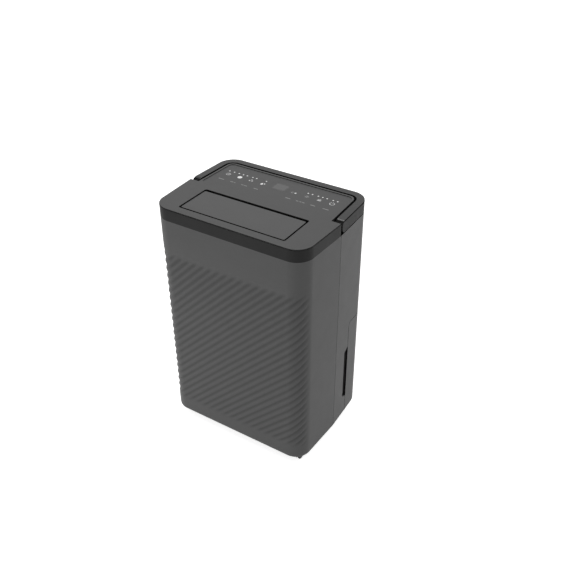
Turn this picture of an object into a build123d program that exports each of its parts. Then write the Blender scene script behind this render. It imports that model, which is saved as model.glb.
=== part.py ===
from build123d import *
import os
from math import cos, radians, sin, tan

# A portable refrigerant dehumidifier. Millimetres: +X to the right seen from the front,
# +Y to the rear, +Z up, with the origin on the floor under the middle of the body.

os.makedirs("parts", exist_ok=True)

# Body
width = 324.0
depth = 235.0
height = 500.0
ground_gap = 19.3
corner_r = 33.0
side_draft = radians(2.45)
seam_y = 2.0
seam_gap = 0.6
wall = 2.6
bottom_r = 6.5
rim_land = 0.4
rim_height = 6.0
skin_gap = 0.4
half_w = width / 2
half_d = depth / 2

# Head: band, plate, handle and flap
band_height = 23.0
handle_gap = 1.8
plate_t = 1.5
band_wall = 3.0
deck_t = 2.4
groove_height = 0.6
groove_depth = 1.0
handle_width = 15.0
handle_slit = 4.0
handle_end_y = 5.0
handle_end_gap = 5.7
handle_top_r = 9.5
handle_low_r = 9.0
handle_pivot_back = 8.5
handle_pin_r = 3.0
top_edge_r = 0.8
panel_rim = 4.4
panel_drop = 1.2
panel_front_y = 5.0
panel_wall = 1.0
outlet_side_back = 50.7
outlet_front_back = 16.9
outlet_length = 80.7
outlet_width = width - 2 * outlet_side_back
outlet_front_y = outlet_front_back - half_d
outlet_rear_y = outlet_front_y + outlet_length
outlet_corner_r = 4.0
flap_side_gap = 3.5
flap_front_gap = 3.7
flap_rear_gap = 6.2
flap_t = 3.0
flap_drop = 0.4
flap_axis_back = 2.2
flap_axis_below = 4.6
flap_pin_r = 1.5
flap_lug_t = 4.0
ear_t = 4.0
window_width = 26.0
window_length = 21.0
window_back = 55.9
window_y = half_d - window_back
window_lip = 2.0
window_lip_t = 1.0
light_left_back = 42.8
light_right_back = 44.0
run_clear = 0.06
fit_gap = 0.3

# Water tank and its bay
head_height = 246.5
tank_top_z = height - head_height
tank_depth = 64.0
tank_front_y = half_d - tank_depth
tank_corner_r = 9.0
tank_wall = 2.8
shut_gap = 1.0
bucket_floor_z = 39.0
bucket_floor_t = 2.6
bucket_side_back = 3.5
bucket_side_front_y = tank_front_y + bucket_side_back
bulge_back = 44.0
bulge_half = half_w - bulge_back
bay_wall_ahead = 16.5
bay_wall_y = tank_front_y - bay_wall_ahead
bay_wall_t = 2.0
bay_deck_t = 2.4
lid_drop = 14.5
lid_z = tank_top_z - lid_drop
lid_t = 2.4
ledge_t = 3.0
notch_length = 14.0
notch_front_y = tank_front_y - notch_length
notch_drop = 57.7
notch_top_z = tank_top_z - notch_drop
notch_low_z = 65.5
notch_slope = 6.5
runner_x = 80.0
runner_t = 4.0
float_size = (40.0, 26.0, 18.0)
float_clear = 8.0
float_centre_x = 60.0
float_pin_r = 1.5
magnet_r = 3.0
magnet_t = 4.0

# Casters
caster_side_back = 25.0
caster_end_back = 32.0
caster_x = half_w - caster_side_back
caster_y = half_d - caster_end_back
wheel_r = 9.2
wheel_t = 4.0
wheel_spacing = 7.0
trail = 4.5
axle_r = 1.5
stem_r = 3.0
hood_r = 8.5
hood_t = 2.6
pocket_wall = 1.8
pocket_clear = 0.8

# Base
pan_t = 3.0
screw_r = 1.7
screw_head_r = 3.2
screw_head_t = 2.4

# Air path
scroll_front_back = 17.5
scroll_width = 76.0
scroll_front_y = scroll_front_back - half_d
scroll_rear_y = scroll_front_y + scroll_width
scroll_t = 2.0
scroll_r = 110.0
fan_x = -4.0
fan_drop = 148.0
fan_z = height - fan_drop
fan_r = 90.0
fan_bore_r = 74.0
blade_count = 30
blade_t = 1.4
inlet_r = 72.0
motor_r = 34.0
motor_length = 36.0
shaft_r = 4.0

# Cooling circuit
coil_side_back = 57.0
coil_half = half_w - coil_side_back
coil_height = 192.0
coil_passes = 8
tube_r = 3.5
fin_pitch = 5.0
fin_t = 1.2
fin_web = 9.0
condenser_back = 55.5
condenser_y = half_d - condenser_back
condenser_depth = 22.0
evaporator_back = 28.5
evaporator_y = half_d - evaporator_back
evaporator_depth = 20.0
coil_end = 12.0
tray_wall = 2.0
tray_height = 9.0
compressor_side_back = 94.0
compressor_x = compressor_side_back - half_w
compressor_r = 52.0
compressor_drop = 84.5
compressor_height = tank_top_z - compressor_drop
shell_t = 3.0
foot_reach = 62.0
foot_t = 3.0
grommet_r = 9.0
foot_span = 2 * (foot_reach * sin(radians(60)) + grommet_r)
foot_front_share = 0.1529
compressor_room = bay_wall_y + half_d - wall
compressor_front_gap = foot_front_share * (compressor_room - foot_span)
compressor_y = wall - half_d + compressor_front_gap + foot_span / 2
grommet_height = 14.0
bolt_r = 2.5
accumulator_side_back = 21.0
accumulator_x = accumulator_side_back - half_w
accumulator_ahead = 26.0
accumulator_y = bay_wall_y - accumulator_ahead
accumulator_r = 14.0
accumulator_low_z = 90.0
accumulator_short = 65.0
accumulator_height = compressor_height - accumulator_short
riser_side_back = 34.0
riser_x = riser_side_back - half_w
riser_ahead = 8.0
riser_y = bay_wall_y - riser_ahead
suction_side_back = 15.0
suction_x = suction_side_back - half_w
pipe_r = 3.0
capillary_r = 1.5
drier_side_back = 27.0
drier_x = drier_side_back - half_w
drier_r = 8.0
drier_rise = 37.5
drier_low_z = tank_top_z + drier_rise
drier_height = 60.0

# Electrics
box_side_back = 24.0
box_width = 120.0
box_right = half_w - box_side_back
box_left = box_right - box_width
box_depth = 30.0
box_low_z = 70.0
box_drop = 34.5
box_high_z = tank_top_z - box_drop
box_wall = 2.0
board_t = 1.6
capacitor_r = 14.0
capacitor_length = 60.0
gland_side_back = 62.0
gland_rise = 15.5
gland_x = gland_side_back - half_w
gland_z = tank_top_z + gland_rise
gland_r = 8.0
gland_flange = 3.0
cord_r = 3.6
sensor_side = 28.0
sensor_height = 28.0

# Intake
intake_side_back = 50.0
intake_rise = 27.5
intake_drop = 42.0
intake_half = half_w - intake_side_back
intake_low_z = tank_top_z + intake_rise
intake_high_z = height - intake_drop
grille_t = 2.6
grille_depth = 12.0
grille_rim = 8.0
slat_count = 15
slat_height = 4.0
filter_t = 1.2

# Places that follow from the sizes above
rim_width = bottom_r + rim_land
handle_low_z = height - band_height
casing_top = handle_low_z - handle_gap
rim_top = ground_gap + rim_height
pan_top = rim_top + pan_t
block_inset = handle_width + handle_slit
plate_inset = block_inset + panel_rim
notch_y = handle_end_y - handle_end_gap
plate_low_z = height - plate_t
deck_top = casing_top + deck_t
panel_z = height - panel_drop
panel_low_z = panel_z - plate_t
casing_rear_y = tank_front_y - shut_gap / 2
tank_edge_y = tank_front_y + shut_gap / 2
tank_rim_z = tank_top_z - shut_gap / 2
casing_low_z = tank_top_z + shut_gap / 2
bay_deck_z = casing_low_z + shut_gap
bay_deck_top = bay_deck_z + bay_deck_t
coil_low_z = bay_deck_top + tray_wall
coil_top = coil_low_z + coil_height


def plan_outline(inset=0.0):
    """Plan shape of the body: each side is drafted both ways from the seam."""
    draft = tan(side_draft)
    seam_x = half_w - inset / cos(side_draft)
    front_y = inset - half_d
    rear_y = half_d - inset
    front_x = seam_x - (seam_y - front_y) * draft
    rear_x = seam_x - (rear_y - seam_y) * draft
    with BuildSketch(Plane.XY, mode=Mode.PRIVATE) as plan:
        with BuildLine():
            Polyline(
                (-front_x, front_y),
                (front_x, front_y),
                (seam_x, seam_y),
                (rear_x, rear_y),
                (-rear_x, rear_y),
                (-seam_x, seam_y),
                close=True,
            )
        make_face()
        corners = [v for v in plan.vertices() if abs(v.Y - seam_y) > 1]
        fillet(corners, corner_r - inset)
    return plan.sketch


def plan_slice(inset, low_y, high_y):
    """The part of the plan shape that lies between two Y values."""
    with BuildSketch(Plane.XY, mode=Mode.PRIVATE) as plan:
        add(plan_outline(inset))
        with Locations((0, (low_y + high_y) / 2)):
            Rectangle(2 * width, high_y - low_y, mode=Mode.INTERSECT)
    return plan.sketch


def side_x(y, inset=0.0):
    """Half the body's width at a Y value, drawn in from the outside."""
    return half_w - inset / cos(side_draft) - abs(y - seam_y) * tan(side_draft)


def block(x_span, y_span, z_span, mode=Mode.ADD):
    """A box between two values on each axis."""
    spans = (x_span, y_span, z_span)
    with Locations(tuple(sum(span) / 2 for span in spans)):
        Box(*(span[1] - span[0] for span in spans), mode=mode)


def rod_x(x_span, y, z, radius, mode=Mode.ADD):
    """A cylinder along X."""
    with Locations(((x_span[0] + x_span[1]) / 2, y, z)):
        Cylinder(radius, x_span[1] - x_span[0], rotation=(0, 90, 0), mode=mode)


def rod_y(x, y_span, z, radius, mode=Mode.ADD):
    """A cylinder along Y."""
    with Locations((x, (y_span[0] + y_span[1]) / 2, z)):
        Cylinder(radius, y_span[1] - y_span[0], rotation=(90, 0, 0), mode=mode)


def rod_z(x, y, z_span, radius, mode=Mode.ADD):
    """A cylinder along Z."""
    with Locations((x, y, (z_span[0] + z_span[1]) / 2)):
        Cylinder(radius, z_span[1] - z_span[0], mode=mode)


def slab(face, z_span, mode=Mode.ADD):
    """A plan face extruded between two heights."""
    extrude(Plane.XY.offset(z_span[0]) * face, amount=z_span[1] - z_span[0], dir=(0, 0, 1), mode=mode)


def save(part, name):
    """Label a finished piece and write its STEP file."""
    part.label = name
    export_step(part, f"parts/{name}.step")


# Casters: a fork on a vertical stem, an axle and two wheels side by side.

wheel_reach = wheel_spacing / 2 + wheel_t / 2
pocket_r = hood_r + pocket_clear
pocket_ceiling = bucket_floor_z - 5.6
pocket_top = pocket_ceiling + 2.4
web_t = wheel_spacing - wheel_t - 2 * 0.25
hood_low_z = 2 * wheel_r + 1.5
boss_low_z = hood_low_z + hood_t + 0.4
stem_top = pocket_top + 1.4
clip_t = 1.0

caster_places = {
    "front_right": (caster_x, -caster_y),
    "front_left": (-caster_x, -caster_y),
    "rear_right": (caster_x, caster_y),
    "rear_left": (-caster_x, caster_y),
}

for corner, (stem_x, stem_y) in caster_places.items():
    axle_y = stem_y - trail

    with BuildPart() as caster_fork:
        rod_z(stem_x, stem_y, (hood_low_z, hood_low_z + hood_t), hood_r)
        rod_z(stem_x, stem_y, (hood_low_z, stem_top), stem_r)
        rod_z(stem_x, stem_y, (stem_top - clip_t, stem_top), stem_r + 1.5)
        block(
            (stem_x - web_t / 2, stem_x + web_t / 2),
            (axle_y - 3.5, stem_y + 3.5),
            (wheel_r - 3.5, hood_low_z),
        )
        rod_x((stem_x - web_t / 2, stem_x + web_t / 2), axle_y, wheel_r, axle_r + run_clear, Mode.SUBTRACT)
    save(caster_fork.part, f"caster_fork_{corner}")

    with BuildPart() as caster_axle:
        rod_x((stem_x - wheel_reach + 0.8, stem_x + wheel_reach - 0.8), axle_y, wheel_r, axle_r)
    save(caster_axle.part, f"caster_axle_{corner}")

    with BuildPart() as caster_wheels:
        for side in (-1, 1):
            middle = stem_x + side * wheel_spacing / 2
            span = (middle - wheel_t / 2, middle + wheel_t / 2)
            rod_x(span, axle_y, wheel_r, wheel_r)
            rod_x((min(stem_x, middle), max(stem_x, middle)), axle_y, wheel_r, axle_r, Mode.SUBTRACT)
            hub = (span[0], span[1] - 0.8) if side > 0 else (span[0] + 0.8, span[1])
            rod_x(hub, axle_y, wheel_r, axle_r, Mode.SUBTRACT)
        rims = [e for e in caster_wheels.edges().filter_by(GeomType.CIRCLE) if e.radius > wheel_r - 0.1]
        chamfer(rims, 0.5)
    save(caster_wheels.part, f"caster_wheels_{corner}")

# Base pan: the plate that carries the compressor, the tank runners and the caster pockets.

tank_pan_inset = tank_wall + skin_gap
bay_y = bay_wall_y + bay_wall_t
compressor_low_z = pan_top + grommet_height + foot_t
foot_angles = (60, 180, 300)
foot_places = [
    (compressor_x + foot_reach * cos(radians(a)), compressor_y + foot_reach * sin(radians(a)))
    for a in foot_angles
]
tab_half = 7.0
tab_reach = 8.0
screw_side_back = 76.0
screw_ahead = 15.5
front_screw_x = half_w - screw_side_back
rear_screw_y = notch_front_y - screw_ahead
front_screw_y = -half_d + rim_width + tab_reach / 2
rear_screw_x = side_x(rear_screw_y, rim_width) - tab_reach / 2
screw_places = [
    (-front_screw_x, front_screw_y),
    (front_screw_x, front_screw_y),
    (-rear_screw_x, rear_screw_y),
    (rear_screw_x, rear_screw_y),
]
screw_boss_r = 4.5
screw_boss_top = pan_top + 9.0
runner_top = bucket_floor_z - fit_gap

with BuildPart() as base_pan:
    slab(plan_slice(wall + fit_gap, -depth, casing_rear_y), (rim_top, pan_top))
    slab(plan_slice(tank_pan_inset, casing_rear_y - 1, depth), (rim_top, pan_top))
    for place in caster_places.values():
        rod_z(*place, (rim_top, pocket_top), pocket_r + pocket_wall)
    for side in (-1, 1):
        middle = side * runner_x
        block((middle - runner_t / 2, middle + runner_t / 2), (bay_y + 6, half_d - 8), (pan_top, runner_top))
    for place in foot_places:
        rod_z(*place, (pan_top, pan_top + 1.5), grommet_r + 3)
    for place in screw_places:
        rod_z(*place, (pan_top, screw_boss_top), screw_boss_r)
    for place in caster_places.values():
        rod_z(*place, (rim_top, pocket_ceiling), pocket_r, Mode.SUBTRACT)
    for place in caster_places.values():
        rod_z(*place, (boss_low_z, pocket_ceiling), stem_r + 2.5)
    for place in caster_places.values():
        rod_z(*place, (boss_low_z, pocket_top), stem_r + run_clear, Mode.SUBTRACT)
    for place in screw_places:
        rod_z(*place, (rim_top, screw_boss_top - 2), screw_r, Mode.SUBTRACT)
    for place in foot_places:
        rod_z(*place, (rim_top, pan_top + 1.5), bolt_r, Mode.SUBTRACT)
save(base_pan.part, "base_pan")

# Casing screws: four, up through the tabs on the casings' rims into the base pan.

screw_head_z = ground_gap + 1.0
screw_seat_z = screw_head_z + screw_head_t
screw_tip_z = screw_boss_top - 2.5

with BuildPart() as casing_screws:
    for place in screw_places:
        rod_z(*place, (screw_head_z, screw_head_z + screw_head_t), screw_head_r)
        rod_z(*place, (screw_head_z, screw_tip_z), screw_r)
        rod_z(*place, (screw_head_z, screw_head_z + 1.2), 1.0, Mode.SUBTRACT)
save(casing_screws.part, "casing_screws")

# Front casing: a shell open at the top and at the seam, with a rim below.

front_edge_y = seam_y - seam_gap / 2

with BuildPart() as front_casing:
    slab(plan_slice(0, -depth, front_edge_y), (ground_gap, casing_top))
    low_edges = front_casing.edges().group_by(Axis.Z)[0].filter_by(lambda e: e.center().Y < front_edge_y - 1)
    fillet(low_edges, bottom_r)
    slab(plan_slice(wall, -depth, front_edge_y), (rim_top, casing_top), Mode.SUBTRACT)
    slab(plan_slice(rim_width, -depth, front_edge_y), (ground_gap, rim_top), Mode.SUBTRACT)
    for place_x in (-front_screw_x, front_screw_x):
        block(
            (place_x - tab_half, place_x + tab_half),
            (-half_d + rim_width - 1, -half_d + rim_width + tab_reach),
            (ground_gap, rim_top),
        )
        rod_z(place_x, front_screw_y, (ground_gap, screw_seat_z), screw_head_r + 0.2, Mode.SUBTRACT)
        rod_z(place_x, front_screw_y, (ground_gap, rim_top), screw_r + 0.2, Mode.SUBTRACT)
save(front_casing.part, "front_casing")

# Rear casing: sides with the finger notches, the upper rear wall around the intake and the
# shelf under the carry handle.

rear_edge_y = seam_y + seam_gap / 2
shelf_t = 2.6
shelf_inset = block_inset + 8.0
intake_gap = 0.4

with BuildPart() as rear_casing:
    slab(plan_slice(0, rear_edge_y, depth), (ground_gap, casing_top))
    low_edges = rear_casing.edges().group_by(Axis.Z)[0].filter_by(lambda e: e.center().Y > rear_edge_y + 1)
    fillet(low_edges, bottom_r)
    slab(plan_slice(wall, rear_edge_y, depth), (rim_top, casing_top - shelf_t), Mode.SUBTRACT)
    slab(plan_slice(shelf_inset, rear_edge_y, depth), (casing_top - shelf_t, casing_top), Mode.SUBTRACT)
    slab(plan_slice(rim_width, rear_edge_y, depth), (ground_gap, rim_top), Mode.SUBTRACT)
    with BuildSketch(Plane.YZ):
        with Locations((casing_rear_y + depth / 2, casing_low_z - height / 2)):
            RectangleRounded(depth, height, tank_corner_r)
    extrude(amount=width, both=True, mode=Mode.SUBTRACT)
    with BuildSketch(Plane.YZ) as notch_profile:
        with BuildLine():
            Polyline(
                (notch_front_y, notch_top_z - notch_slope),
                (tank_front_y + 5, notch_top_z + notch_slope * 0.4),
                (tank_front_y + 5, notch_low_z - notch_slope * 0.4),
                (notch_front_y, notch_low_z + notch_slope),
                close=True,
            )
        make_face()
        fillet(notch_profile.vertices().group_by(Axis.X)[0], 1.5)
    extrude(amount=width, both=True, mode=Mode.SUBTRACT)
    block(
        (-intake_half - intake_gap, intake_half + intake_gap),
        (half_d - 2 * wall, half_d + 1),
        (intake_low_z - intake_gap, intake_high_z + intake_gap),
        Mode.SUBTRACT,
    )
    rod_y(gland_x, (half_d - 2 * wall, half_d + 1), gland_z, gland_r + 0.1, Mode.SUBTRACT)
    for side in (-1, 1):
        tab_x = side * (side_x(rear_screw_y, rim_width) - tab_reach / 2 + 0.5)
        with Locations((tab_x, rear_screw_y, ground_gap + rim_height / 2)):
            Box(tab_reach + 1, 2 * tab_half, rim_height)
        screw_place = (side * rear_screw_x, rear_screw_y)
        rod_z(*screw_place, (ground_gap, screw_seat_z), screw_head_r + 0.2, Mode.SUBTRACT)
        rod_z(*screw_place, (ground_gap, rim_top), screw_r + 0.2, Mode.SUBTRACT)
save(rear_casing.part, "rear_casing")

# Top band: the dark ring under the plate. Behind the notches it steps in to leave room for
# the handle.

pivot_y = handle_end_y + handle_pivot_back
pivot_z = handle_low_z + band_height / 2
ring_inset = band_wall
spigot_depth = 8.0
spigot_t = 2.0
ear_x = outlet_width / 2 + 0.6
flap_rear_y = outlet_rear_y - flap_rear_gap
flap_top_z = height - flap_drop
flap_axis_y = flap_rear_y - flap_axis_back
flap_axis_z = flap_top_z - flap_axis_below
duct_half = outlet_width / 2 - 6.0
duct_front_y = outlet_front_y + 2.0
duct_rear_y = outlet_rear_y - 8.0
boss_r = 6.5
pin_root_x = side_x(pivot_y, block_inset + 9.0)


def block_outline(front_inset, rear_inset, split_y):
    """Plan shape that is wide in front of split_y and narrower behind it."""
    with BuildSketch(Plane.XY, mode=Mode.PRIVATE) as plan:
        add(plan_slice(front_inset, -depth, split_y))
        add(plan_slice(rear_inset, split_y - 1, depth))
    return plan.sketch


with BuildPart() as top_band:
    slab(block_outline(0, block_inset, notch_y), (casing_top, plate_low_z))
    slab(
        block_outline(ring_inset, block_inset + band_wall, notch_y - band_wall),
        (deck_top, plate_low_z),
        Mode.SUBTRACT,
    )
    slab(plan_slice(wall + fit_gap, -depth, notch_y - 4), (casing_top - spigot_depth, casing_top))
    slab(
        plan_slice(wall + fit_gap + spigot_t, -depth, notch_y - 4),
        (casing_top - spigot_depth, casing_top),
        Mode.SUBTRACT,
    )
    with BuildSketch(Plane.XY.offset(plate_low_z - groove_height)):
        add(plan_slice(-1, -depth, notch_y))
        add(plan_slice(groove_depth, -depth, notch_y), mode=Mode.SUBTRACT)
    extrude(amount=groove_height, mode=Mode.SUBTRACT)
    block(
        (-duct_half, duct_half),
        (duct_front_y, duct_rear_y),
        (casing_top - 1, deck_top + 1),
        Mode.SUBTRACT,
    )
    for side in (-1, 1):
        ear_span = sorted((side * ear_x, side * (ear_x + ear_t)))
        block(ear_span, (flap_axis_y - 5, flap_axis_y + 5), (deck_top - 1, plate_low_z - 0.1))
        rod_x(ear_span, flap_axis_y, flap_axis_z, flap_pin_r + run_clear, Mode.SUBTRACT)
        boss_span = sorted((side * side_x(pivot_y, block_inset + 0.5), side * pin_root_x))
        rod_x(boss_span, pivot_y, pivot_z, boss_r)
        bore_span = sorted((side * half_w, side * (pin_root_x - 1)))
        rod_x(bore_span, pivot_y, pivot_z, handle_pin_r + run_clear, Mode.SUBTRACT)
save(top_band.part, "top_band")

# Top plate: full width in front and inside the handle behind, with the outlet opening. The
# touch panel lies in it as a shallow tray with a raised rim on three sides.

with BuildPart() as top_plate:
    with BuildSketch(Plane.XY.offset(plate_low_z)):
        add(plan_slice(0, -depth, notch_y))
        add(plan_slice(block_inset, notch_y - 1, depth))
        with Locations((0, (outlet_front_y + outlet_rear_y) / 2)):
            RectangleRounded(
                outlet_width, outlet_rear_y - outlet_front_y, outlet_corner_r, mode=Mode.SUBTRACT
            )
    extrude(amount=plate_t)
    fillet(top_plate.faces().sort_by(Axis.Z)[-1].outer_wire().edges(), top_edge_r)
    tray_plan = plan_slice(plate_inset - panel_wall, panel_front_y - panel_wall, depth)
    slab(tray_plan, (panel_low_z, plate_low_z))
    slab(plan_slice(plate_inset, panel_front_y, depth), (panel_z, height), Mode.SUBTRACT)
    block(
        (-window_width / 2, window_width / 2),
        (window_y - window_length / 2, window_y + window_length / 2),
        (panel_low_z, height),
        Mode.SUBTRACT,
    )
save(top_plate.part, "top_plate")

# Display window: a smoked insert flush with the panel, over the digits of the control board.

board_z = height - 14.0

with BuildPart() as display_window:
    block(
        (-window_width / 2, window_width / 2),
        (window_y - window_length / 2, window_y + window_length / 2),
        (panel_low_z - window_lip_t, panel_z),
    )
    block(
        (-window_width / 2 - window_lip, window_width / 2 + window_lip),
        (window_y - window_length / 2 - window_lip, window_y + window_length / 2 + window_lip),
        (panel_low_z - window_lip_t, panel_low_z),
    )
save(display_window.part, "display_window")

# Control board on four posts of its own, and the lights that shine through the plate.

board_half = side_x(window_y, plate_inset + 8.0)
board_y = (window_y - 24.0, window_y + 20.0)
post_x = board_half - 6.0

with BuildPart() as control_board:
    block((-board_half, board_half), board_y, (board_z, board_z + board_t))
    for place_x in (-post_x, 0, post_x):
        for place_y in (board_y[0] + 5, board_y[1] - 5):
            rod_z(place_x, place_y, (deck_top, board_z), 3.0)
    block((-11, 11), (window_y - 7, window_y + 7), (board_z + board_t, panel_low_z - window_lip_t - 0.3))
save(control_board.part, "control_board")

light_y = window_y + 4.4
left_light_x = light_left_back - half_w
right_light_x = half_w - light_right_back
light_columns = [left_light_x + step for step in (0, 11.1, 22.1, 31.8, 40.8, 53.5, 62.4, 84.4)]
light_columns += [right_light_x - step for step in (61.6, 52.4, 40.1, 30.9, 21.8, 9.2, 0)]

with BuildPart() as indicator_lights:
    for place_x in light_columns:
        rod_z(place_x, light_y, (board_z + board_t, panel_low_z), 1.3)
save(indicator_lights.part, "indicator_lights")

# Outlet flap: a flat plate on two lugs whose pins turn in the band's ears.

flap_half = outlet_width / 2 - flap_side_gap
flap_front_y = outlet_front_y + flap_front_gap
flap_low_z = flap_top_z - flap_t

with BuildPart() as outlet_flap:
    with BuildSketch(Plane.XY.offset(flap_low_z)):
        with Locations((0, (flap_front_y + flap_rear_y) / 2)):
            RectangleRounded(2 * flap_half, flap_rear_y - flap_front_y, outlet_corner_r - 1.5)
    extrude(amount=flap_t)
    for side in (-1, 1):
        lug_span = sorted((side * (flap_half - flap_lug_t), side * flap_half))
        block(
            lug_span,
            (flap_axis_y - 3.5, flap_axis_y + flap_pin_r + 0.7),
            (flap_axis_z - flap_pin_r - 0.9, flap_low_z),
        )
        pin_span = sorted((side * (flap_half - 1), side * (ear_x + ear_t - 0.5)))
        rod_x(pin_span, flap_axis_y, flap_axis_z, flap_pin_r)
    for rib_x in (-flap_half / 2, 0, flap_half / 2):
        block(
            (rib_x - 1, rib_x + 1),
            (flap_front_y + 6, flap_rear_y - 9),
            (flap_low_z - 3, flap_low_z),
        )
save(outlet_flap.part, "outlet_flap")

# Carry handle: a bail that lies around the rear of the top, with rounded front ends. Its body
# carries a cap that continues the top plate, over the same fine groove.

with BuildPart() as whole_handle:
    with BuildSketch(Plane.XY.offset(handle_low_z)):
        add(plan_slice(0, handle_end_y, depth))
        add(plan_slice(handle_width, handle_end_y - 1, depth), mode=Mode.SUBTRACT)
    extrude(amount=band_height)
    ends = whole_handle.edges().filter_by(Axis.X).group_by(Axis.Y)[0]
    fillet(ends.group_by(Axis.Z)[-1], handle_top_r)
    ends = whole_handle.edges().filter_by(Axis.X).group_by(Axis.Y)[0]
    fillet(ends.group_by(Axis.Z)[0], handle_low_r)
    for side in (-1, 1):
        bore_span = sorted((side * (side_x(pivot_y, handle_width) - 1), side * side_x(pivot_y, 4.0)))
        rod_x(bore_span, pivot_y, pivot_z, handle_pin_r, Mode.SUBTRACT)

with BuildPart() as carry_handle:
    add(whole_handle.part)
    slab(plan_slice(-1, 0, depth), (plate_low_z, height + 1), Mode.SUBTRACT)
    with BuildSketch(Plane.XY.offset(plate_low_z - groove_height)):
        add(plan_slice(-1, 0, depth))
        add(plan_slice(groove_depth, 0, depth), mode=Mode.SUBTRACT)
    extrude(amount=groove_height, mode=Mode.SUBTRACT)
save(carry_handle.part, "carry_handle")

with BuildPart() as handle_cap:
    add(whole_handle.part)
    slab(plan_slice(-1, 0, depth), (handle_low_z - 1, plate_low_z), Mode.SUBTRACT)
    top_edges = handle_cap.faces().sort_by(Axis.Z)[-1].outer_wire().edges()
    fillet([e for e in top_edges if e.center().Y > handle_end_y + handle_top_r], top_edge_r)
save(handle_cap.part, "handle_cap")

with BuildPart() as handle_pins:
    for side in (-1, 1):
        pin_span = sorted((side * pin_root_x, side * side_x(pivot_y, 4.0)))
        rod_x(pin_span, pivot_y, pivot_z, handle_pin_r)
save(handle_pins.part, "handle_pins")

# Water tank: a bucket whose outer walls are the lower rear of the body.

bulge_front_y = bay_y + 3.0
lid_gap = 0.4
rail_y = bucket_side_front_y + tank_wall


def bucket_outline(inset, rear_inset):
    """Plan of the bucket: as wide as the body, with a narrower part that reaches forward."""
    front_y = bucket_side_front_y + inset
    bulge_y = bulge_front_y + inset
    with BuildSketch(Plane.XY, mode=Mode.PRIVATE) as plan:
        add(plan_slice(rear_inset, front_y, depth))
        with Locations((0, (bulge_y + front_y + 1) / 2)):
            Rectangle(2 * (bulge_half - inset), front_y + 1 - bulge_y)
    return plan.sketch


with BuildPart() as tank_bucket:
    slab(plan_slice(0, tank_edge_y, depth), (ground_gap, tank_rim_z))
    low_edges = tank_bucket.edges().group_by(Axis.Z)[0].filter_by(lambda e: e.center().Y > tank_edge_y + 1)
    fillet(low_edges, bottom_r)
    slab(plan_slice(tank_wall, tank_edge_y - 1, depth), (rim_top - skin_gap, tank_rim_z), Mode.SUBTRACT)
    slab(plan_slice(rim_width, tank_edge_y - 1, depth), (ground_gap, rim_top - skin_gap), Mode.SUBTRACT)
    slab(bucket_outline(0, tank_wall / 2), (bucket_floor_z, lid_z))
    slab(bucket_outline(tank_wall, tank_wall), (bucket_floor_z + bucket_floor_t, lid_z), Mode.SUBTRACT)
    slab(plan_slice(tank_wall / 2, rail_y, depth), (lid_z - ledge_t, lid_z))
    slab(plan_slice(tank_wall + ledge_t, rail_y - 1, depth), (lid_z - ledge_t, lid_z), Mode.SUBTRACT)
    with BuildSketch(Plane.YZ):
        with Locations((tank_edge_y, tank_rim_z)):
            Rectangle(tank_corner_r, tank_corner_r, align=(Align.MIN, Align.MAX))
        with Locations((tank_edge_y + tank_corner_r, tank_rim_z - tank_corner_r)):
            Circle(tank_corner_r, mode=Mode.SUBTRACT)
    extrude(amount=width, both=True, mode=Mode.SUBTRACT)
save(tank_bucket.part, "tank_bucket")

# Tank lid: rests on the bucket's walls and ledge, with a drip opening and the float's ears.

float_y = bulge_front_y + tank_wall + float_clear + float_size[1] / 2
float_z = lid_z - 30.0
float_pivot_y = float_y + 34.0
float_pivot_z = lid_z - 12.0
float_arm_half = 5.0
ear_gap = 0.3
drip_y = (condenser_y + evaporator_y) / 2 + 6.0
drip_x = -40.0

with BuildPart() as tank_lid:
    slab(bucket_outline(0, tank_wall + lid_gap), (lid_z, lid_z + lid_t))
    rod_z(drip_x, drip_y, (lid_z, lid_z + lid_t), 16.0, Mode.SUBTRACT)
    for side in (-1, 1):
        ear_start = float_centre_x + side * (float_arm_half + ear_gap)
        ear_span = sorted((ear_start, ear_start + side * 3.0))
        block(ear_span, (float_pivot_y - 4, float_pivot_y + 4), (float_pivot_z - 4, lid_z))
        rod_x(ear_span, float_pivot_y, float_pivot_z, float_pin_r + run_clear, Mode.SUBTRACT)
save(tank_lid.part, "tank_lid")

# Float: a hollow block on an arm that lifts as the tank fills, with a magnet at its front.

with BuildPart() as tank_float:
    with Locations((float_centre_x, float_y, float_z)):
        Box(*float_size)
    fillet(tank_float.edges().filter_by(Axis.Z), 4.0)
    arm_start_y = float_y + float_size[1] / 2 - 6
    block(
        (float_centre_x - float_arm_half, float_centre_x + float_arm_half),
        (arm_start_y, float_pivot_y + 3.5),
        (float_pivot_z - 3.5, float_pivot_z + 2.5),
    )
    block(
        (float_centre_x - float_arm_half, float_centre_x + float_arm_half),
        (arm_start_y, arm_start_y + 4),
        (float_z, float_pivot_z),
    )
    rod_x(
        (float_centre_x - float_arm_half - 3.0, float_centre_x + float_arm_half + 3.0),
        float_pivot_y,
        float_pivot_z,
        float_pin_r,
    )
    magnet_y = float_y - float_size[1] / 2
    rod_y(float_centre_x, (magnet_y, magnet_y + magnet_t), float_z, magnet_r, Mode.SUBTRACT)
save(tank_float.part, "tank_float")

with BuildPart() as float_magnet:
    rod_y(float_centre_x, (magnet_y, magnet_y + magnet_t), float_z, magnet_r)
save(float_magnet.part, "float_magnet")

# Bay liner: the wall in front of the tank and the deck over it, one moulding.

tray_x = coil_half + tray_wall + 1.0
tray_front_y = condenser_y - condenser_depth / 2 - tray_wall - 1.0
tray_rear_y = evaporator_y + evaporator_depth / 2 + tray_wall + 1.0
spout_r = 6.0

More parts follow.
